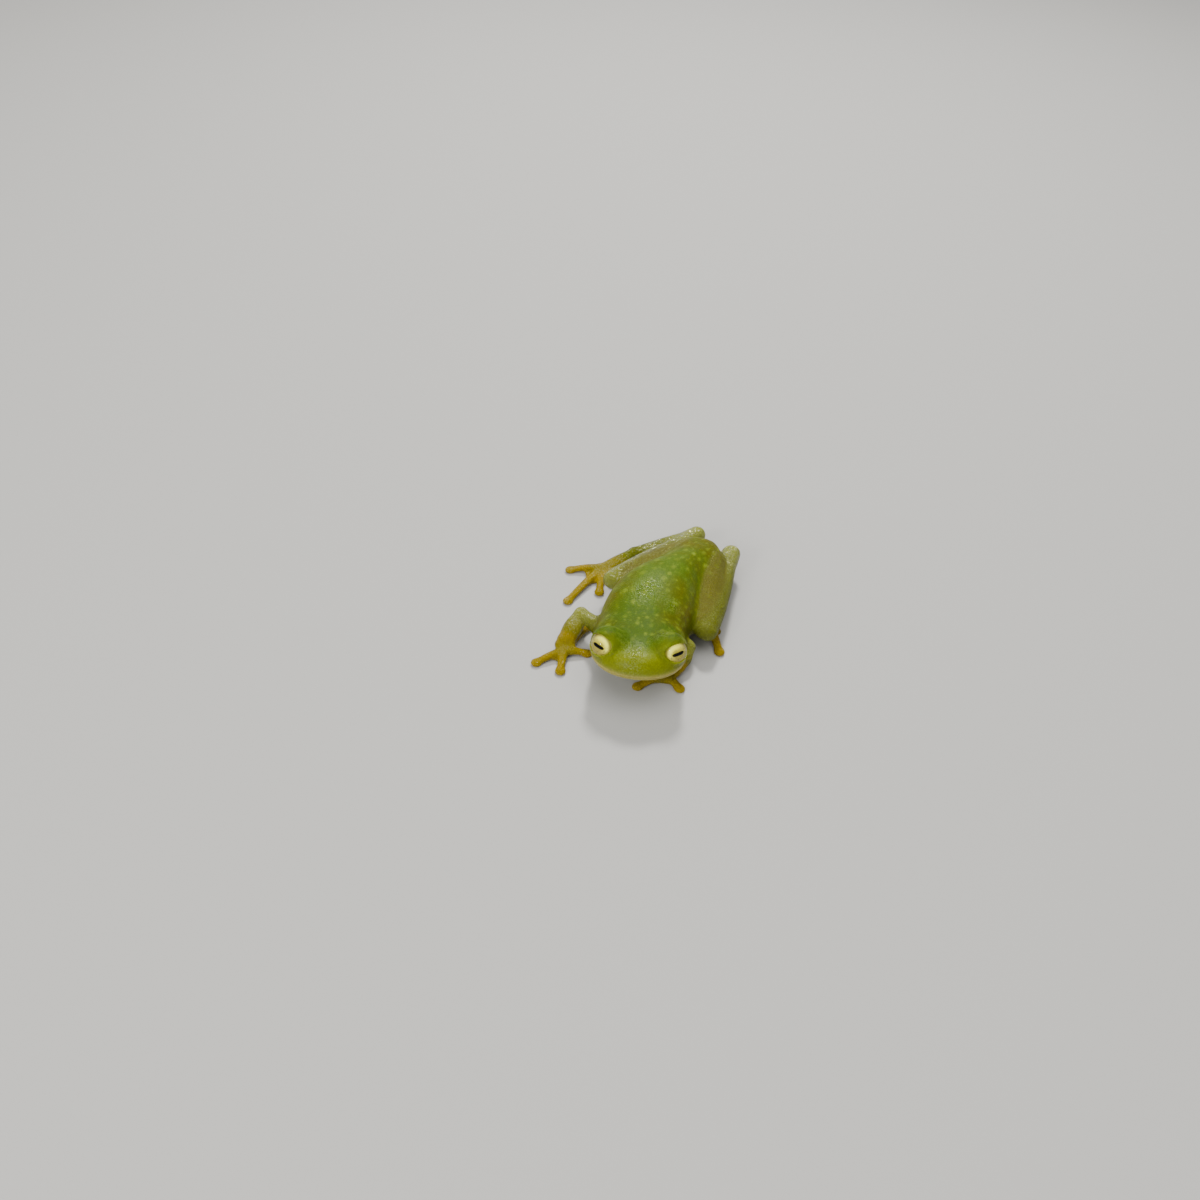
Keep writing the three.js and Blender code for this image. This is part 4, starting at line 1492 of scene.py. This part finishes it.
@dataclass(frozen=True)
class Lamp:
    """A square light that faces a point above the origin; wet skin shows no image of a soft one."""

    name: str
    place: Point
    size: float
    watts: float
    soft: bool = False
    aim: float = 3.0

    def build(self) -> None:
        """Makes the light, turned so that its own -Z runs from its place to the point that it faces."""
        light = bpy.data.lights.new(self.name, "AREA")
        light.size = self.size * MM
        light.energy = self.watts
        lamp = bpy.data.objects.new(self.name, light)
        lamp.visible_glossy = not self.soft
        place = np.array(self.place, float)
        back = unit(place - (0, 0, self.aim))
        right = unit(np.cross((0, 1, 0), back))
        stand(lamp, place, (right, np.cross(back, right), back))


@dataclass(frozen=True)
class Studio:
    """The floor, the soft light and the camera at the photograph's viewing angle.

    Attributes:
        azimuth: the camera's turn about the upright, from the frog's front.
        elevation: its angle above the floor.
        roll: its turn about its own axis.
        shift: the origin's place to the right of the camera's axis and above it.
        distance: the origin's depth in front of the camera.
        lens: focal length.
        clip: the nearest and the farthest depth that the camera sees.
    """

    azimuth: float = math.radians(33.095)
    elevation: float = math.radians(40.221)
    roll: float = math.radians(3.167)
    shift: Range = (5.953, -2.638)
    distance: float = 136.179
    lens: float = 36.09
    sensor: float = 36.0
    clip: Range = (5.0, 10000.0)
    floor_half: float = 1500.0
    sky: str = "e4e8ec"
    sky_strength: float = 0.25
    lamps: tuple[Lamp, ...] = (
        Lamp("key_light", (-140, 235, 320), 60, 1.6, soft=True),
        Lamp("glint_light", (-140, 235, 321), 60, 0.6),
        Lamp("top_light", (60, -40, 450), 420, 2.0, soft=True),
        Lamp("front_fill", (40, -350, 200), 300, 1.1, soft=True),
        Lamp("front_light", (-15, -340, 220), 70, 0.5),
    )

    def camera(self) -> None:
        """Makes the camera: its back axis is (sin a cos e, -cos a cos e, sin e), and it rolls about that."""
        level = math.cos(self.elevation)
        back = (math.sin(self.azimuth) * level, -math.cos(self.azimuth) * level, math.sin(self.elevation))
        back = np.array(back)
        flat = unit(np.cross(-back, (0, 0, 1)))
        rise = np.cross(back, flat)
        right = flat * math.cos(self.roll) + rise * math.sin(self.roll)
        up = -flat * math.sin(self.roll) + rise * math.cos(self.roll)
        place = self.distance * back - self.shift[0] * right - self.shift[1] * up
        lens = bpy.data.cameras.new("camera")
        lens.lens, lens.sensor_width = self.lens, self.sensor
        lens.clip_start, lens.clip_end = (depth * MM for depth in self.clip)
        camera = bpy.data.objects.new("camera", lens)
        stand(camera, place, (right, up, back))
        bpy.context.scene.camera = camera

    def build(self) -> None:
        """Makes the floor, the lights, the pale surroundings and the camera."""
        h = self.floor_half
        corners = np.array([[-h, -h, 0], [h, -h, 0], [h, h, 0], [-h, h, 0]], float)
        floor = make_mesh("floor", corners, np.array([[0, 1, 2, 3]]))
        floor.data.materials.append(PaleFloor().build())
        for lamp in self.lamps:
            lamp.build()
        world = bpy.data.worlds.new("surroundings")
        world.use_nodes = True
        light = {"Color": shade(self.sky), "Strength": self.sky_strength}
        Graph(world.node_tree).feed(world.node_tree.nodes["Background"], light)
        bpy.context.scene.world = world
        self.camera()


POSTURE = Posture()
HIND_LEGS = (
    Leg(
        side=Side.RIGHT,
        hip=(-2.0, 9.6, 3.3),
        knee=(-5.4, 1.6, 2.8),
        shank_top=(-6.2, 0.65, 2.8),
        heel=(-3.15, 14.25, 2.6),
        ankle=(-8.2, 8.4, 0.95),
        spread=(-9.9, 4.2, 0.45),
        toes=((-7.2, 4.4, 0.3), (-7.4, 2.7, 0.3), (-7.75, 0.5, 0.3), (-9.7, -3.0, 0.3), (-12.85, 1.75, 0.3)),
    ),
    Leg(
        side=Side.LEFT,
        hip=(1.9, 9.2, 3.3),
        knee=(5.9, 0.9, 2.8),
        shank_top=(7.05, -0.2, 2.7),
        heel=(2.25, 13.1, 3.0),
        ankle=(4.1, 6.2, 0.75),
        spread=(5.6, 3.1, 0.45),
        toes=((4.7, 4.0, 0.3), (4.9, 2.7, 0.3), (5.5, 1.6, 0.3), (8.6, 0.3, 0.3), (6.5, 3.0, 0.3)),
    ),
)
ARMS = (
    Arm(
        side=Side.RIGHT,
        shoulder=(-1.8, -7.2, 2.9),
        elbow=(-5.75, -6.0, 2.45),
        wrist=(-5.5, -9.1, 1.0),
        palm=(-4.9, -10.3, 0.5),
        fingers=((-5.3, -5.4, 0.3), (-2.8, -8.85, 0.3), (-3.45, -12.9, 0.3), (-6.3, -13.4, 0.3)),
    ),
    Arm(
        side=Side.LEFT,
        shoulder=(4.3, -3.7, 3.0),
        elbow=(6.3, -2.8, 1.9),
        wrist=(6.4, -5.1, 0.95),
        palm=(5.95, -6.8, 0.5),
        fingers=((4.6, -5.1, 0.3), (3.3, -7.5, 0.3), (4.45, -9.8, 0.3), (8.2, -7.3, 0.3)),
    ),
)
EYES = (Eye(Side.RIGHT, POSTURE), Eye(Side.LEFT, POSTURE, opening=(1.5, 0.9), raised=0.17))


def main() -> None:
    """Builds the frog and its studio and reports each piece."""
    logging.basicConfig(level=logging.INFO, format="%(name)s: %(message)s")
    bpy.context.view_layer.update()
    Studio().build()
    log.info("studio: floor, lights and camera")
    skin = Skin(POSTURE, Trunk(POSTURE), ARMS, HIND_LEGS, EYES)
    piece = skin.build()
    piece.data.materials.append(MoistSkin().build())
    flesh = ("head", "lower_jaw", "torso")
    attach(piece, "root")
    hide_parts(*flesh, *(node for limb in (*ARMS, *HIND_LEGS) for node in limb.nodes))
    log.info("skin: %d quads", len(piece.data.polygons))
    iris, clear = Iris().build(), Cornea().build()
    for eye in EYES:
        eyeball, cornea = eye.build()
        for part, finish in ((eyeball, iris), (cornea, clear)):
            part.data.materials.append(finish)
            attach(part, "root")
        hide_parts(eye.node)
        log.info("%s eye", eye.side.label)


if __name__ == "__main__":
    main()
